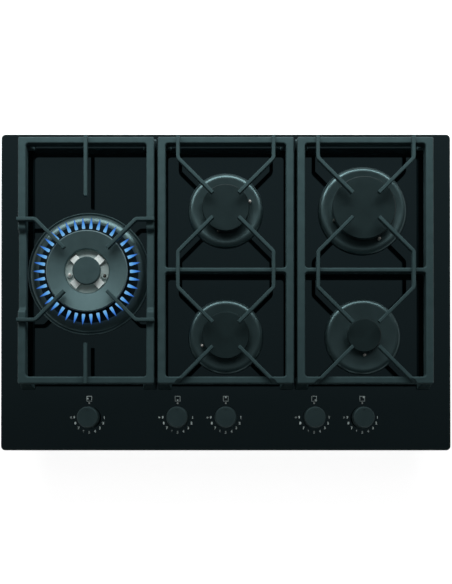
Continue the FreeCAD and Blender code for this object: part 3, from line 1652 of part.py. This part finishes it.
def sub_parts():
    """Every finished piece: bodies, fusions, groups and shapes that no other object holds."""
    kinds = ("PartDesign::Body", "Part::MultiFuse", "Part::Compound", "Part::Feature")
    finished = []
    for item in doc.Objects:
        held = any(user.TypeId in ("Part::MultiFuse", "Part::Compound") for user in item.InList)
        if item.TypeId in kinds and not held:
            finished.append(item)
    return finished


build()
doc.recompute()

for item in doc.Objects:
    if "Invalid" in item.State or "Error" in item.State:
        raise RuntimeError(f"{item.Label} failed: {item.State}")
for item in sub_parts():
    if item.Shape.isNull() or not item.Shape.isValid():
        raise RuntimeError(f"{item.Label} has no valid shape")
for item in sub_parts():
    item.Shape.exportStep(f"parts/{item.Label}.step")
    print(item.Label, len(item.Shape.Solids), round(item.Shape.Volume, 1))
print(len(sub_parts()), "sub-parts")
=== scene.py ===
import json
import math

import bmesh
import bpy
from mathutils import Matrix, Vector


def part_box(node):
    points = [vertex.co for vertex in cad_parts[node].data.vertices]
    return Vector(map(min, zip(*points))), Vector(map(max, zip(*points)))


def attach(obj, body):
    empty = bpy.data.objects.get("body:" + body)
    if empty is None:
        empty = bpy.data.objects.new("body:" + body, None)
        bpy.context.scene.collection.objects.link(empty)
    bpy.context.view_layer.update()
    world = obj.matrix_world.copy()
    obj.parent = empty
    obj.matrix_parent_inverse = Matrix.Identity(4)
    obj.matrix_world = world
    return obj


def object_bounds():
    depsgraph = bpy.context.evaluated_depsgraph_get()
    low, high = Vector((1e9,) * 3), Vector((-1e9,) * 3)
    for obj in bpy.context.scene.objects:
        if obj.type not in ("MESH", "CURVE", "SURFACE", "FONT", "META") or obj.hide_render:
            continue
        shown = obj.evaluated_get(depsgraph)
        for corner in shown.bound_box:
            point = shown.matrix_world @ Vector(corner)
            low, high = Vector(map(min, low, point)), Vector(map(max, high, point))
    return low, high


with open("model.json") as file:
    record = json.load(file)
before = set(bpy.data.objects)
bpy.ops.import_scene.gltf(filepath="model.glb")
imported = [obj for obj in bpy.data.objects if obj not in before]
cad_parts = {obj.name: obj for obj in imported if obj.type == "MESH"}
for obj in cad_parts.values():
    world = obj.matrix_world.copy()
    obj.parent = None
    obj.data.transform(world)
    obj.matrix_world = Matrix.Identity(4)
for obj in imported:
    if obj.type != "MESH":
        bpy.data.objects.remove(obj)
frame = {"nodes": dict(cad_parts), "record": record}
cad_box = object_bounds()
nodes = frame["nodes"]
scene = bpy.context.scene

# ---------------------------------------------------------------- places, read from the frame
# Lengths are in metres, here and below.

FLOOR_GAP = 0.0002
FLOOR_Z = cad_box[0].z - FLOOR_GAP
GLASS_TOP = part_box("glass_panel")[1].z


def middle(node):
    low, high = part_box(node)
    return (low + high) / 2


WOK_MIDDLE = middle("wok_outer_cap")
WOK_CAP_RADIUS = (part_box("wok_outer_cap")[1].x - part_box("wok_outer_cap")[0].x) / 2

# ---------------------------------------------------------------- camera
# The photograph is taken from above, nearly square to the glass, with the lens shifted up.

CAMERA_PLACE = (0.0023, -0.2406, GLASS_TOP + 1.4634)
CAMERA_TILT = math.radians(0.4)
CAMERA_SENSOR_MM = 36
CAMERA_LENS_MM = 57.17
CAMERA_SHIFT = (-0.0021, 0.25)

camera_data = bpy.data.cameras.new("camera")
camera_data.sensor_width = CAMERA_SENSOR_MM
camera_data.lens = CAMERA_LENS_MM
camera_data.shift_x, camera_data.shift_y = CAMERA_SHIFT
camera = bpy.data.objects.new("camera", camera_data)
camera.location = CAMERA_PLACE
camera.rotation_euler = (CAMERA_TILT, 0, 0)
scene.collection.objects.link(camera)
scene.camera = camera

# ---------------------------------------------------------------- material helpers

# Between these values of a noise one colour gives way to the other.
MOTTLE_LOW = 0.35
MOTTLE_HIGH = 0.65


def grey(level):
    return (level, level, level)


def fill_ramp(ramp, stops):
    """Stops of a colour ramp, each a position and a colour."""
    elements = ramp.color_ramp.elements
    while len(elements) < len(stops):
        elements.new(0.5)
    for element, (position, colour) in zip(elements, stops):
        element.position = position
        element.color = (*colour, 1)


def calculated(tree, operation, first, second):
    """The result of a maths node on two outputs."""
    maths = tree.nodes.new("ShaderNodeMath")
    maths.operation = operation
    tree.links.new(first, maths.inputs[0])
    tree.links.new(second, maths.inputs[1])
    return maths.outputs["Value"]


def ray_kinds(tree):
    """Two outputs: 1 for the camera's own rays, and 1 for rays that a surface mirrors or lets through."""
    path = tree.nodes.new("ShaderNodeLightPath")
    glossy = path.outputs["Is Glossy Ray"]
    mirrored = calculated(tree, "MAXIMUM", glossy, path.outputs["Is Transmission Ray"])
    return path.outputs["Is Camera Ray"], mirrored


class Nodes:
    """A material's node tree, with short calls to add and join nodes."""

    def __init__(self, name):
        self.material = bpy.data.materials.new(name)
        self.material.use_nodes = True
        self.tree = self.material.node_tree
        self.shader = self.tree.nodes["Principled BSDF"]
        self.place = self.add("ShaderNodeTexCoord").outputs["Object"]

    def add(self, kind, **settings):
        node = self.tree.nodes.new(kind)
        for key, value in settings.items():
            setattr(node, key, value)
        return node

    def join(self, output, socket):
        self.tree.links.new(output, socket)

    def set(self, **values):
        for key, value in values.items():
            self.shader.inputs[key.replace("_", " ")].default_value = value

    def noise(self, scale, detail=3.0):
        noise = self.add("ShaderNodeTexNoise")
        noise.inputs["Scale"].default_value = scale
        noise.inputs["Detail"].default_value = detail
        self.join(self.place, noise.inputs["Vector"])
        return noise.outputs["Fac"]

    def between(self, factor, low, high, from_low=0.3, from_high=0.7):
        ranged = self.add("ShaderNodeMapRange")
        ranged.inputs["From Min"].default_value = from_low
        ranged.inputs["From Max"].default_value = from_high
        ranged.inputs["To Min"].default_value = low
        ranged.inputs["To Max"].default_value = high
        self.join(factor, ranged.inputs["Value"])
        return ranged.outputs["Result"]

    def colours(self, factor, first, second):
        ramp = self.add("ShaderNodeValToRGB")
        fill_ramp(ramp, ((MOTTLE_LOW, first), (MOTTLE_HIGH, second)))
        self.join(factor, ramp.inputs["Fac"])
        self.join(ramp.outputs["Color"], self.shader.inputs["Base Color"])

    def roughness(self, factor, low, high):
        self.join(self.between(factor, low, high), self.shader.inputs["Roughness"])

    def outward(self, centre):
        """Distance from an upright axis."""
        shift = self.add("ShaderNodeVectorMath", operation="SUBTRACT")
        shift.inputs[1].default_value = (centre.x, centre.y, 0)
        flat = self.add("ShaderNodeVectorMath", operation="MULTIPLY")
        flat.inputs[1].default_value = (1, 1, 0)
        length = self.add("ShaderNodeVectorMath", operation="LENGTH")
        self.join(self.place, shift.inputs[0])
        self.join(shift.outputs["Vector"], flat.inputs[0])
        self.join(flat.outputs["Vector"], length.inputs[0])
        return length.outputs["Value"]

    def scaled(self, value, factor):
        times = self.add("ShaderNodeMath", operation="MULTIPLY")
        times.inputs[1].default_value = factor
        self.join(value, times.inputs[0])
        return times.outputs["Value"]

    def bump(self, height, distance, strength=1.0, after=None):
        bump = self.add("ShaderNodeBump")
        bump.inputs["Strength"].default_value = strength
        bump.inputs["Distance"].default_value = distance
        self.join(height, bump.inputs["Height"])
        if after is not None:
            self.join(after, bump.inputs["Normal"])
        self.join(bump.outputs["Normal"], self.shader.inputs["Normal"])
        return bump.outputs["Normal"]


# ---------------------------------------------------------------- materials
# A sheen is the tint of what a surface mirrors. Grain and patch are noise scales, bump is a depth.

NEUTRAL = (1.0, 1.0, 1.0)
TEAL = (0.58, 0.95, 1.0)
GLASS_TEAL = (0.53, 0.89, 1.0)
DISH_SLOPE = 0.11


def finish_of(name, first, second, roughness, grain=900.0, bump=0.00002, metallic=0.0, patch=35.0,
              specular=0.5, sheen=NEUTRAL, index=1.5):
    """A finish with slight mottling between two colours, uneven gloss and a fine grain."""
    look = Nodes(name)
    look.set(Metallic=metallic, Specular_IOR_Level=specular, Specular_Tint=(*sheen, 1), IOR=index)
    look.colours(look.noise(patch, detail=4.0), first, second)
    look.roughness(look.noise(patch * 3, detail=2.0), *roughness)
    look.bump(look.noise(grain), bump)
    return look.material


def black_glass():
    """Black glass, almost a mirror, with the faintest waviness."""
    look = Nodes("black_glass")
    look.set(IOR=1.5, Specular_IOR_Level=0.92, Specular_Tint=(*GLASS_TEAL, 1))
    look.colours(look.noise(9.0), first=(0.0004, 0.0007, 0.0008), second=(0.0007, 0.0011, 0.0012))
    look.roughness(look.noise(60.0), low=0.03, high=0.055)
    look.bump(look.noise(420.0), distance=0.000004)
    return look.material


def cast_enamel():
    """Matt enamel on cast iron: a fine orange peel over the casting's waves."""
    look = Nodes("cast_enamel")
    look.set(Specular_IOR_Level=0.18, Specular_Tint=(*TEAL, 1))
    look.colours(look.noise(70.0, detail=5.0), first=(0.032, 0.058, 0.062), second=(0.038, 0.068, 0.072))
    look.roughness(look.noise(160.0), low=0.46, high=0.6)
    waves = look.bump(look.noise(180.0, detail=2.0), distance=0.00006, strength=0.8)
    look.bump(look.noise(1500.0), distance=0.00003, strength=0.7, after=waves)
    return look.material


def satin_cap():
    """Satin enamel of the wok burner's outer cap, bumped as if it were dished, which turns its sheen."""
    look = Nodes("satin_enamel")
    look.set(Specular_IOR_Level=0.9, Specular_Tint=(*TEAL, 1), IOR=1.7)
    look.colours(look.noise(60.0, detail=4.0), first=(0.030, 0.052, 0.055), second=(0.036, 0.061, 0.064))
    look.roughness(look.noise(180.0), low=0.36, high=0.43)
    dish = look.bump(look.scaled(look.outward(WOK_MIDDLE), DISH_SLOPE), distance=1.0)
    look.bump(look.noise(1300.0), distance=0.00002, after=dish)
    return look.material


LOOKS = {
    "foam": dict(first=grey(0.012), second=grey(0.02), roughness=(0.8, 0.95), grain=1200, bump=0.0001),
    "zinc_steel": dict(
        first=(0.30, 0.31, 0.32), second=(0.38, 0.39, 0.40), roughness=(0.36, 0.5),
        grain=300, bump=0.00001, metallic=1.0, patch=120.0,
    ),
    "pipe_steel": dict(
        first=(0.4, 0.41, 0.41), second=(0.5, 0.5, 0.51), roughness=(0.3, 0.42),
        grain=700, bump=0.00001, metallic=1.0,
    ),
    "bright_steel": dict(
        first=(0.58, 0.58, 0.58), second=(0.66, 0.66, 0.65), roughness=(0.2, 0.3),
        grain=900, bump=0.000006, metallic=1.0,
    ),
    "brass": dict(
        first=(0.62, 0.44, 0.17), second=(0.72, 0.54, 0.24), roughness=(0.22, 0.36),
        grain=900, bump=0.000008, metallic=1.0,
    ),
    "tube_aluminium": dict(
        first=(0.6, 0.61, 0.62), second=(0.7, 0.71, 0.72), roughness=(0.3, 0.42),
        grain=600, bump=0.00001, metallic=1.0,
    ),
    "cast_aluminium": dict(
        first=(0.42, 0.43, 0.44), second=(0.52, 0.53, 0.54), roughness=(0.45, 0.6),
        grain=1400, bump=0.00005, metallic=1.0,
    ),
    "head_aluminium": dict(
        first=(0.30, 0.32, 0.32), second=(0.42, 0.43, 0.43), roughness=(0.34, 0.5),
        grain=1200, bump=0.00002, metallic=1.0,
    ),
    "switch_plastic": dict(first=grey(0.02), second=grey(0.03), roughness=(0.45, 0.55)),
    "pale_plastic": dict(first=(0.66, 0.65, 0.6), second=(0.72, 0.71, 0.66), roughness=(0.42, 0.52)),
    "silicone": dict(first=grey(0.008), second=grey(0.013), roughness=(0.6, 0.7)),
    "spark_ceramic": dict(
        first=(0.78, 0.77, 0.73), second=(0.85, 0.84, 0.8), roughness=(0.15, 0.25),
        grain=500, bump=0.000005,
    ),
    "probe_steel": dict(
        first=(0.42, 0.38, 0.33), second=(0.5, 0.48, 0.45), roughness=(0.28, 0.4),
        grain=800, bump=0.00001, metallic=1.0,
    ),
    "ring_enamel": dict(
        first=(0.008, 0.015, 0.016), second=(0.011, 0.020, 0.021), roughness=(0.32, 0.38),
        grain=1100, bump=0.00001, specular=1.0, sheen=TEAL, index=1.58,
    ),
    "cap_enamel": dict(
        first=(0.009, 0.016, 0.017), second=(0.011, 0.020, 0.021), roughness=(0.34, 0.40),
        grain=1300, bump=0.00002, specular=0.25, sheen=TEAL,
    ),
    "pad_rubber": dict(first=grey(0.01), second=grey(0.016), roughness=(0.7, 0.8)),
    "knob_plastic": dict(
        first=(0.018, 0.031, 0.033), second=(0.022, 0.037, 0.039), roughness=(0.40, 0.50),
        grain=1600, bump=0.000012, specular=0.35, sheen=TEAL,
    ),
}

FINISH = {slot: finish_of(slot, **look) for slot, look in LOOKS.items()}
FINISH["grate_enamel"] = cast_enamel()
FINISH["black_glass"] = black_glass()

for part in frame["record"]["subparts"]:
    mesh = nodes[part["node"]].data
    mesh.materials.clear()
    mesh.materials.append(FINISH[part["material_slot"]])

# ---------------------------------------------------------------- second finishes on parts of a node


def paint(node, material, test):
    """A second finish on the faces of a node whose middle and normal pass a test."""
    mesh = nodes[node].data
    mesh.materials.append(material)
    slot = len(mesh.materials) - 1
    for face in mesh.polygons:
        if test(face.center, face.normal):
            face.material_index = slot


def from_wok_middle(centre):
    return (centre - WOK_MIDDLE).to_2d().length


# The glass panel's ground edge: its outer faces and its corners, all but what lies flat.
GLASS_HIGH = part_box("glass_panel")[1]
RIM = 0.0012
RIM_CORNER = 0.0075
LIES_FLAT = 0.95


def on_glass_rim(centre, normal):
    aside = abs(centre.x) - GLASS_HIGH.x
    ahead = abs(centre.y) - GLASS_HIGH.y
    in_corner = min(aside, ahead) > -RIM_CORNER
    return abs(normal.z) < LIES_FLAT and (max(aside, ahead) > -RIM or in_corner)


# The wok burner's saucer, with the blocks on it, and the trough of its trim ring, painted near black as
# painted shade under the outer cap.
SAUCER_INSIDE = 0.018
SAUCER_OUTSIDE = 0.035
SAUCER_LOW = GLASS_TOP + 0.0135
BLOCK_LOW = GLASS_TOP + 0.0212
FACES_UP = 0.5
TROUGH_OUTSIDE = 0.0765


def on_saucer(centre, normal):
    return SAUCER_INSIDE < from_wok_middle(centre) < SAUCER_OUTSIDE and centre.z > SAUCER_LOW


def on_block(centre, normal):
    return on_saucer(centre, normal) and centre.z > BLOCK_LOW and normal.z > FACES_UP


def in_ring_trough(centre, normal):
    return from_wok_middle(centre) < TROUGH_OUTSIDE


# The bevel at the outer edge of the wok burner's outer cap, painted a lighter enamel as a painted highlight.
CAP_EDGE = 0.0012
BEVEL_STEEPEST = 0.25
BEVEL_FLATTEST = 0.97


def on_cap_edge(centre, normal):
    on_edge = from_wok_middle(centre) > WOK_CAP_RADIUS - CAP_EDGE
    return on_edge and BEVEL_STEEPEST < normal.z < BEVEL_FLATTEST


ground_edge = finish_of(
    "ground_glass_edge", (0.16, 0.2, 0.19), (0.2, 0.25, 0.24), (0.4, 0.55), grain=700, bump=0.00003
)
bare_casting = finish_of(
    "bare_casting", (0.38, 0.48, 0.47), (0.46, 0.56, 0.55), (0.25, 0.4), grain=1200, bump=0.00003
)
polished = finish_of(
    "polished_aluminium", (0.80, 0.89, 0.87), (0.86, 0.95, 0.93), (0.25, 0.35), grain=900, bump=0.00001
)
# Painted shade: near-black matt enamel on the wok trim ring's trough, standing in for the outer cap's shadow.
painted_shade_trough = finish_of(
    "painted_shade_trough", (0.002, 0.003, 0.004), (0.003, 0.005, 0.006), (0.5, 0.6), specular=0.2, sheen=TEAL
)
core_enamel = finish_of(
    "core_enamel", (0.032, 0.056, 0.059), (0.038, 0.065, 0.068), (0.38, 0.46),
    grain=1300, patch=60.0, sheen=TEAL,
)
# Painted highlight: a lighter, glossier enamel on the outer cap's edge bevel, standing in for the light it
# catches.
painted_highlight_edge = finish_of("painted_highlight_edge", (0.10, 0.16, 0.17), (0.14, 0.20, 0.21), (0.25, 0.35), sheen=TEAL)

nodes["wok_outer_cap"].data.materials[0] = satin_cap()
nodes["wok_core_cap"].data.materials[0] = core_enamel
paint("glass_panel", ground_edge, on_glass_rim)
paint("wok_burner_head", bare_casting, on_saucer)
paint("wok_burner_head", polished, on_block)
# Painted shade on the wok trim ring's trough.
paint("wok_trim_ring", painted_shade_trough, in_ring_trough)
# Painted highlight on the outer cap's edge bevel.
paint("wok_outer_cap", painted_highlight_edge, on_cap_edge)

# ---------------------------------------------------------------- mesh helpers


def new_object(name, mesh):
    piece = bpy.data.objects.new(name, mesh)
    scene.collection.objects.link(piece)
    return piece


def mesh_of(name, shape, material):
    """A mesh with one material, from a shape that is then done with."""
    mesh = bpy.data.meshes.new(name)
    shape.to_mesh(mesh)
    shape.free()
    mesh.materials.append(material)
    return mesh


def add_polygon(shape, points, height):
    shape.faces.new([shape.verts.new((x, y, height)) for x, y in points])


def add_disc(shape, x, y, radius, height, sides=20):
    turns = [2 * math.pi * side / sides for side in range(sides)]
    add_polygon(shape, [(x + radius * math.cos(turn), y + radius * math.sin(turn)) for turn in turns], height)


# ---------------------------------------------------------------- printed marks round the knobs

MARK_LIFT = 0.00005

# Numbers on a ring round the knob, clockwise from its right, with the degrees from one to the next. The bold
# moves each outline out, and a number is a share of its font's size tall.
NUMBERS = range(1, 10)
NUMBER_RING = 0.0237
NUMBER_STEP = 22.5
NUMBER_TALL = 0.0040
NUMBER_BOLD = 0.00022
NUMBER_SHARE = 0.73

# The dot at zero, behind the knob.
ZERO_DOT = 0.0226
ZERO_RADIUS = 0.0014

# The spark sign: strokes through one place, left of the numbers. Its thickness is a share of its length.
SPARK_GAP = 0.0052
SPARK_HALF = 0.0017
SPARK_THICK = 0.16
SPARK_TURNS = (90, 150, 210)

# A square behind the dot, with a spot at the burner's place: right and back from its middle.
SQUARE_BACK = 0.0296
SQUARE_HALF = 0.0042
SQUARE_LINE = 0.0007
SPOT_SIDE = 0.0022
SPOT_RADIUS = 0.0014
SPOTS = {
    "wok": (-1, 0),
    "front_middle": (0, -1),
    "back_middle": (0, 1),
    "front_right": (1, -1),
    "back_right": (1, 1),
}

print_ink = finish_of(
    "print_ink", (0.78, 0.92, 0.90), (0.82, 0.96, 0.94), (0.5, 0.6), grain=1500, bump=0.00001
)
dot_ink = finish_of(
    "dot_ink", (0.86, 0.94, 0.92), (0.90, 0.98, 0.96), (0.5, 0.6), grain=1500, bump=0.00001
)


def add_text(shape, text, x, y, tall, height):
    """A plain number, centred on a place."""
    curve = bpy.data.curves.new("number", "FONT")
    curve.body = text
    curve.size = tall / NUMBER_SHARE
    curve.offset = NUMBER_BOLD
    curve.align_x = "CENTER"
    curve.align_y = "CENTER"
    holder = new_object("number", curve)
    bpy.context.view_layer.update()
    evaluated = holder.evaluated_get(bpy.context.evaluated_depsgraph_get())
    flat = bpy.data.meshes.new_from_object(evaluated)
    flat.transform(Matrix.Translation((x, y, height)))
    shape.from_mesh(flat)
    bpy.data.objects.remove(holder)
    bpy.data.meshes.remove(flat)


def add_spark(shape, x, y, height):
    spot = Vector((x, y))
    for turn in SPARK_TURNS:
        angle = math.radians(turn)
        way = Vector((math.cos(angle), math.sin(angle))) * SPARK_HALF
        side = Vector((-way.y, way.x)) * SPARK_THICK
        corners = [spot + way + side, spot - way + side, spot - way - side, spot + way - side]
        add_polygon(shape, corners, height)


def add_square_ring(shape, x, y, half, line, height):
    """A square's outline, as four equal strips."""
    for turn in range(4):
        rotation = Matrix.Rotation(turn * math.pi / 2, 2)
        corners = ((-half, half - line), (half - line, half - line), (half - line, half), (-half, half))
        spots = [rotation @ Vector(corner) for corner in corners]
        add_polygon(shape, [(x + spot.x, y + spot.y) for spot in spots], height)


def knob_marks(name):
    """Numbers, a spark sign, the burner's place and a zero dot, printed on the glass round one knob."""
    centre = middle("knob_" + name)
    height = GLASS_TOP + MARK_LIFT
    shape = bmesh.new()
    for number in NUMBERS:
        turn = math.radians(-NUMBER_STEP * (number - 1))
        x = centre.x + NUMBER_RING * math.cos(turn)
        y = centre.y + NUMBER_RING * math.sin(turn)
        add_text(shape, str(number), x, y, NUMBER_TALL, height)
    add_spark(shape, centre.x - NUMBER_RING - SPARK_GAP, centre.y, height)
    square_y = centre.y + SQUARE_BACK
    add_square_ring(shape, centre.x, square_y, SQUARE_HALF, SQUARE_LINE, height)
    right, back = SPOTS[name]
    add_disc(shape, centre.x + right * SPOT_SIDE, square_y + back * SPOT_SIDE, SPOT_RADIUS, height)
    mesh = mesh_of("marks_" + name, shape, print_ink)
    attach(new_object("marks_" + name, mesh), "hob")
    dot = bmesh.new()
    add_disc(dot, centre.x, centre.y + ZERO_DOT, ZERO_RADIUS, height)
    mesh = mesh_of("zero_" + name, dot, dot_ink)
    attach(new_object("zero_" + name, mesh), "hob")


for knob in SPOTS:
    knob_marks(knob)

# ---------------------------------------------------------------- flames of the wok burner
# "Along" is a share of a flame's length, 0 at its foot and 1 at its tip.

FLAMES = 38
FLAME_GAP = 0.0032
FLAME_START = WOK_CAP_RADIUS + FLAME_GAP
FLAME_LONG = 0.0170
FLAME_WIDE = 0.0058
FLAME_RISE = 0.0016
FLAME_LIFT = 0.0006
FLAME_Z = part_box("wok_outer_cap")[0].z + FLAME_LIFT

# The foot's share of the width, the place along where it has swelled out, the power of the taper to the
# tip, and a flame's height by its width.
FLAME_FOOT = 0.82
FLAME_SWELL = 0.2
FLAME_TAPER = 0.7
FLAME_FLATNESS = 0.8
FLAME_RINGS = 9
FLAME_SIDES = 10

# Its colours by the place along it, and how its opacity falls from one place along it to another.
FLAME_STOPS = (
    (0.0, (0.20, 0.46, 0.76)),
    (0.25, (0.12, 0.38, 0.76)),
    (0.55, (0.06, 0.24, 0.72)),
    (0.85, (0.03, 0.12, 0.46)),
    (1.0, (0.02, 0.07, 0.28)),
)
FLAME_OPACITY = (0.95, 0.7)
FLAME_FADE = (0.4, 1.0)


def flame_material():
    look = Nodes("flame")
    along = look.between(look.outward(WOK_MIDDLE), 0, 1, FLAME_START, FLAME_START + FLAME_LONG)
    ramp = look.add("ShaderNodeValToRGB")
    fill_ramp(ramp, FLAME_STOPS)
    look.join(along, ramp.inputs["Fac"])
    glow = look.add("ShaderNodeEmission")
    look.join(ramp.outputs["Color"], glow.inputs["Color"])
    glow.inputs["Strength"].default_value = 1.0
    clear = look.add("ShaderNodeBsdfTransparent")
    mix = look.add("ShaderNodeMixShader")
    look.join(look.between(along, *FLAME_OPACITY, *FLAME_FADE), mix.inputs["Fac"])
    look.join(clear.outputs["BSDF"], mix.inputs[1])
    look.join(glow.outputs["Emission"], mix.inputs[2])
    look.join(mix.outputs["Shader"], look.tree.nodes["Material Output"].inputs["Surface"])
    return look.material


def flame_radius(along):
    """Half width of a flame: nearly full at its foot, then a long taper to its tip."""
    swell = math.sin(min(along / FLAME_SWELL, 1) * math.pi / 2)
    return FLAME_WIDE / 2 * (1 - along) ** FLAME_TAPER * (FLAME_FOOT + (1 - FLAME_FOOT) * swell)


def flame_middle(outward, along):
    """The middle of a flame's section, which rises more and more towards the tip."""
    foot = Vector((WOK_MIDDLE.x, WOK_MIDDLE.y, FLAME_Z))
    centre = foot + outward * (FLAME_START + FLAME_LONG * along)
    centre.z += FLAME_RISE * along * along
    return centre


def add_flame(shape, angle):
    """One flame: a tube that tapers from an open foot to a point."""
    outward = Vector((math.cos(angle), math.sin(angle), 0))
    across = Vector((-outward.y, outward.x, 0))
    rings = []
    for ring in range(FLAME_RINGS):
        along = ring / FLAME_RINGS
        centre = flame_middle(outward, along)
        radius = flame_radius(along)
        verts = []
        for side in range(FLAME_SIDES):
            turn = 2 * math.pi * side / FLAME_SIDES
            upward = Vector((0, 0, FLAME_FLATNESS * radius * math.sin(turn)))
            verts.append(shape.verts.new(centre + across * (radius * math.cos(turn)) + upward))
        rings.append(verts)
    tip = shape.verts.new(flame_middle(outward, 1))
    for near, far in zip(rings, rings[1:]):
        for side in range(FLAME_SIDES):
            following = (side + 1) % FLAME_SIDES
            shape.faces.new((near[side], near[following], far[following], far[side]))
    last = rings[-1]
    for side in range(FLAME_SIDES):
        shape.faces.new((last[side], last[(side + 1) % FLAME_SIDES], tip))


def flame_ring():
    """A flame at each port of the wok burner's outer ring."""
    shape = bmesh.new()
    for flame in range(FLAMES):
        add_flame(shape, 2 * math.pi * flame / FLAMES)
    mesh = mesh_of("wok_flames", shape, flame_material())
    for face in mesh.polygons:
        face.use_smooth = True
    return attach(new_object("wok_flames", mesh), "wok_head")


flame_ring()

# ---------------------------------------------------------------- floor, backdrop, light

FLOOR_HALF = 6.0
FLOOR_WHITE = 0.82
FLOOR_GLOW = 0.88

# Level of the sky by the depth part (Y) of its direction: -1 is to the front, 1 to the back.
SKY_STOPS = (
    (-1.0, 0.06),
    (-0.2, 0.085),
    (0.0, 0.105),
    (0.33, 0.24),
    (0.6, 0.34),
    (1.0, 0.34),
)

# Between these heights (Z) of its direction the white that surfaces mirror gives way to the sky.
HORIZON = (0.08, 0.20)

KEY_PLACE = Vector((-0.05, 0.70, 0.56))
KEY_AIM = Vector((0.0, 0.05, 0.0))
KEY_SIZE = (1.7, 0.3)
KEY_WATTS = 11.0


def floor_material():
    """White floor that keeps the hob's shadow and glows where it is seen or mirrored."""
    look = Nodes("floor")
    diffuse = look.add("ShaderNodeBsdfDiffuse")
    diffuse.inputs["Color"].default_value = (*grey(FLOOR_WHITE), 1)
    glow = look.add("ShaderNodeEmission")
    seen = calculated(look.tree, "MAXIMUM", *ray_kinds(look.tree))
    look.join(look.scaled(seen, FLOOR_GLOW), glow.inputs["Strength"])
    both = look.add("ShaderNodeAddShader")
    look.join(diffuse.outputs["BSDF"], both.inputs[0])
    look.join(glow.outputs["Emission"], both.inputs[1])
    look.join(both.outputs["Shader"], look.tree.nodes["Material Output"].inputs["Surface"])
    return look.material


floor_corners = ((-1, -1), (1, -1), (1, 1), (-1, 1))
floor_shape = bmesh.new()
add_polygon(floor_shape, [(FLOOR_HALF * x, FLOOR_HALF * y) for x, y in floor_corners], FLOOR_Z)
floor_mesh = mesh_of("floor", floor_shape, floor_material())
new_object("floor", floor_mesh)


def studio_world():
    """A dim soft sky, brighter to the back. The camera sees white instead, and so do mirrors low down."""
    world = bpy.data.worlds.new("studio")
    scene.world = world
    world.use_nodes = True
    tree = world.node_tree
    background = tree.nodes["Background"]
    place = tree.nodes.new("ShaderNodeTexCoord")
    split = tree.nodes.new("ShaderNodeSeparateXYZ")
    tree.links.new(place.outputs["Generated"], split.inputs["Vector"])
    depth = tree.nodes.new("ShaderNodeMapRange")
    depth.inputs["From Min"].default_value = -1
    tree.links.new(split.outputs["Y"], depth.inputs["Value"])
    sky = tree.nodes.new("ShaderNodeValToRGB")
    fill_ramp(sky, [((back + 1) / 2, grey(level)) for back, level in SKY_STOPS])
    tree.links.new(depth.outputs["Result"], sky.inputs["Fac"])
    low = tree.nodes.new("ShaderNodeMapRange")
    low.inputs["From Min"].default_value, low.inputs["From Max"].default_value = HORIZON
    low.inputs["To Min"].default_value = 1
    low.inputs["To Max"].default_value = 0
    tree.links.new(split.outputs["Z"], low.inputs["Value"])
    by_camera, mirrored = ray_kinds(tree)
    low_mirrored = calculated(tree, "MULTIPLY", low.outputs["Result"], mirrored)
    mix = tree.nodes.new("ShaderNodeMix")
    mix.data_type = "FLOAT"
    tree.links.new(calculated(tree, "MAXIMUM", low_mirrored, by_camera), mix.inputs["Factor"])
    tree.links.new(sky.outputs["Color"], mix.inputs["A"])
    mix.inputs["B"].default_value = 1.0
    tree.links.new(mix.outputs["Result"], background.inputs["Strength"])
    background.inputs["Color"].default_value = (1, 1, 1, 1)


def key_light():
    """A long soft light above and behind the hob, aimed a little behind its middle."""
    light = bpy.data.lights.new("key", "AREA")
    light.shape = "RECTANGLE"
    light.size, light.size_y = KEY_SIZE
    light.energy = KEY_WATTS
    key = bpy.data.objects.new("key", light)
    key.location = KEY_PLACE
    key.rotation_mode = "QUATERNION"
    key.rotation_quaternion = (KEY_AIM - KEY_PLACE).to_track_quat("-Z", "Y")
    scene.collection.objects.link(key)


studio_world()
key_light()

scene.view_settings.view_transform = "Standard"
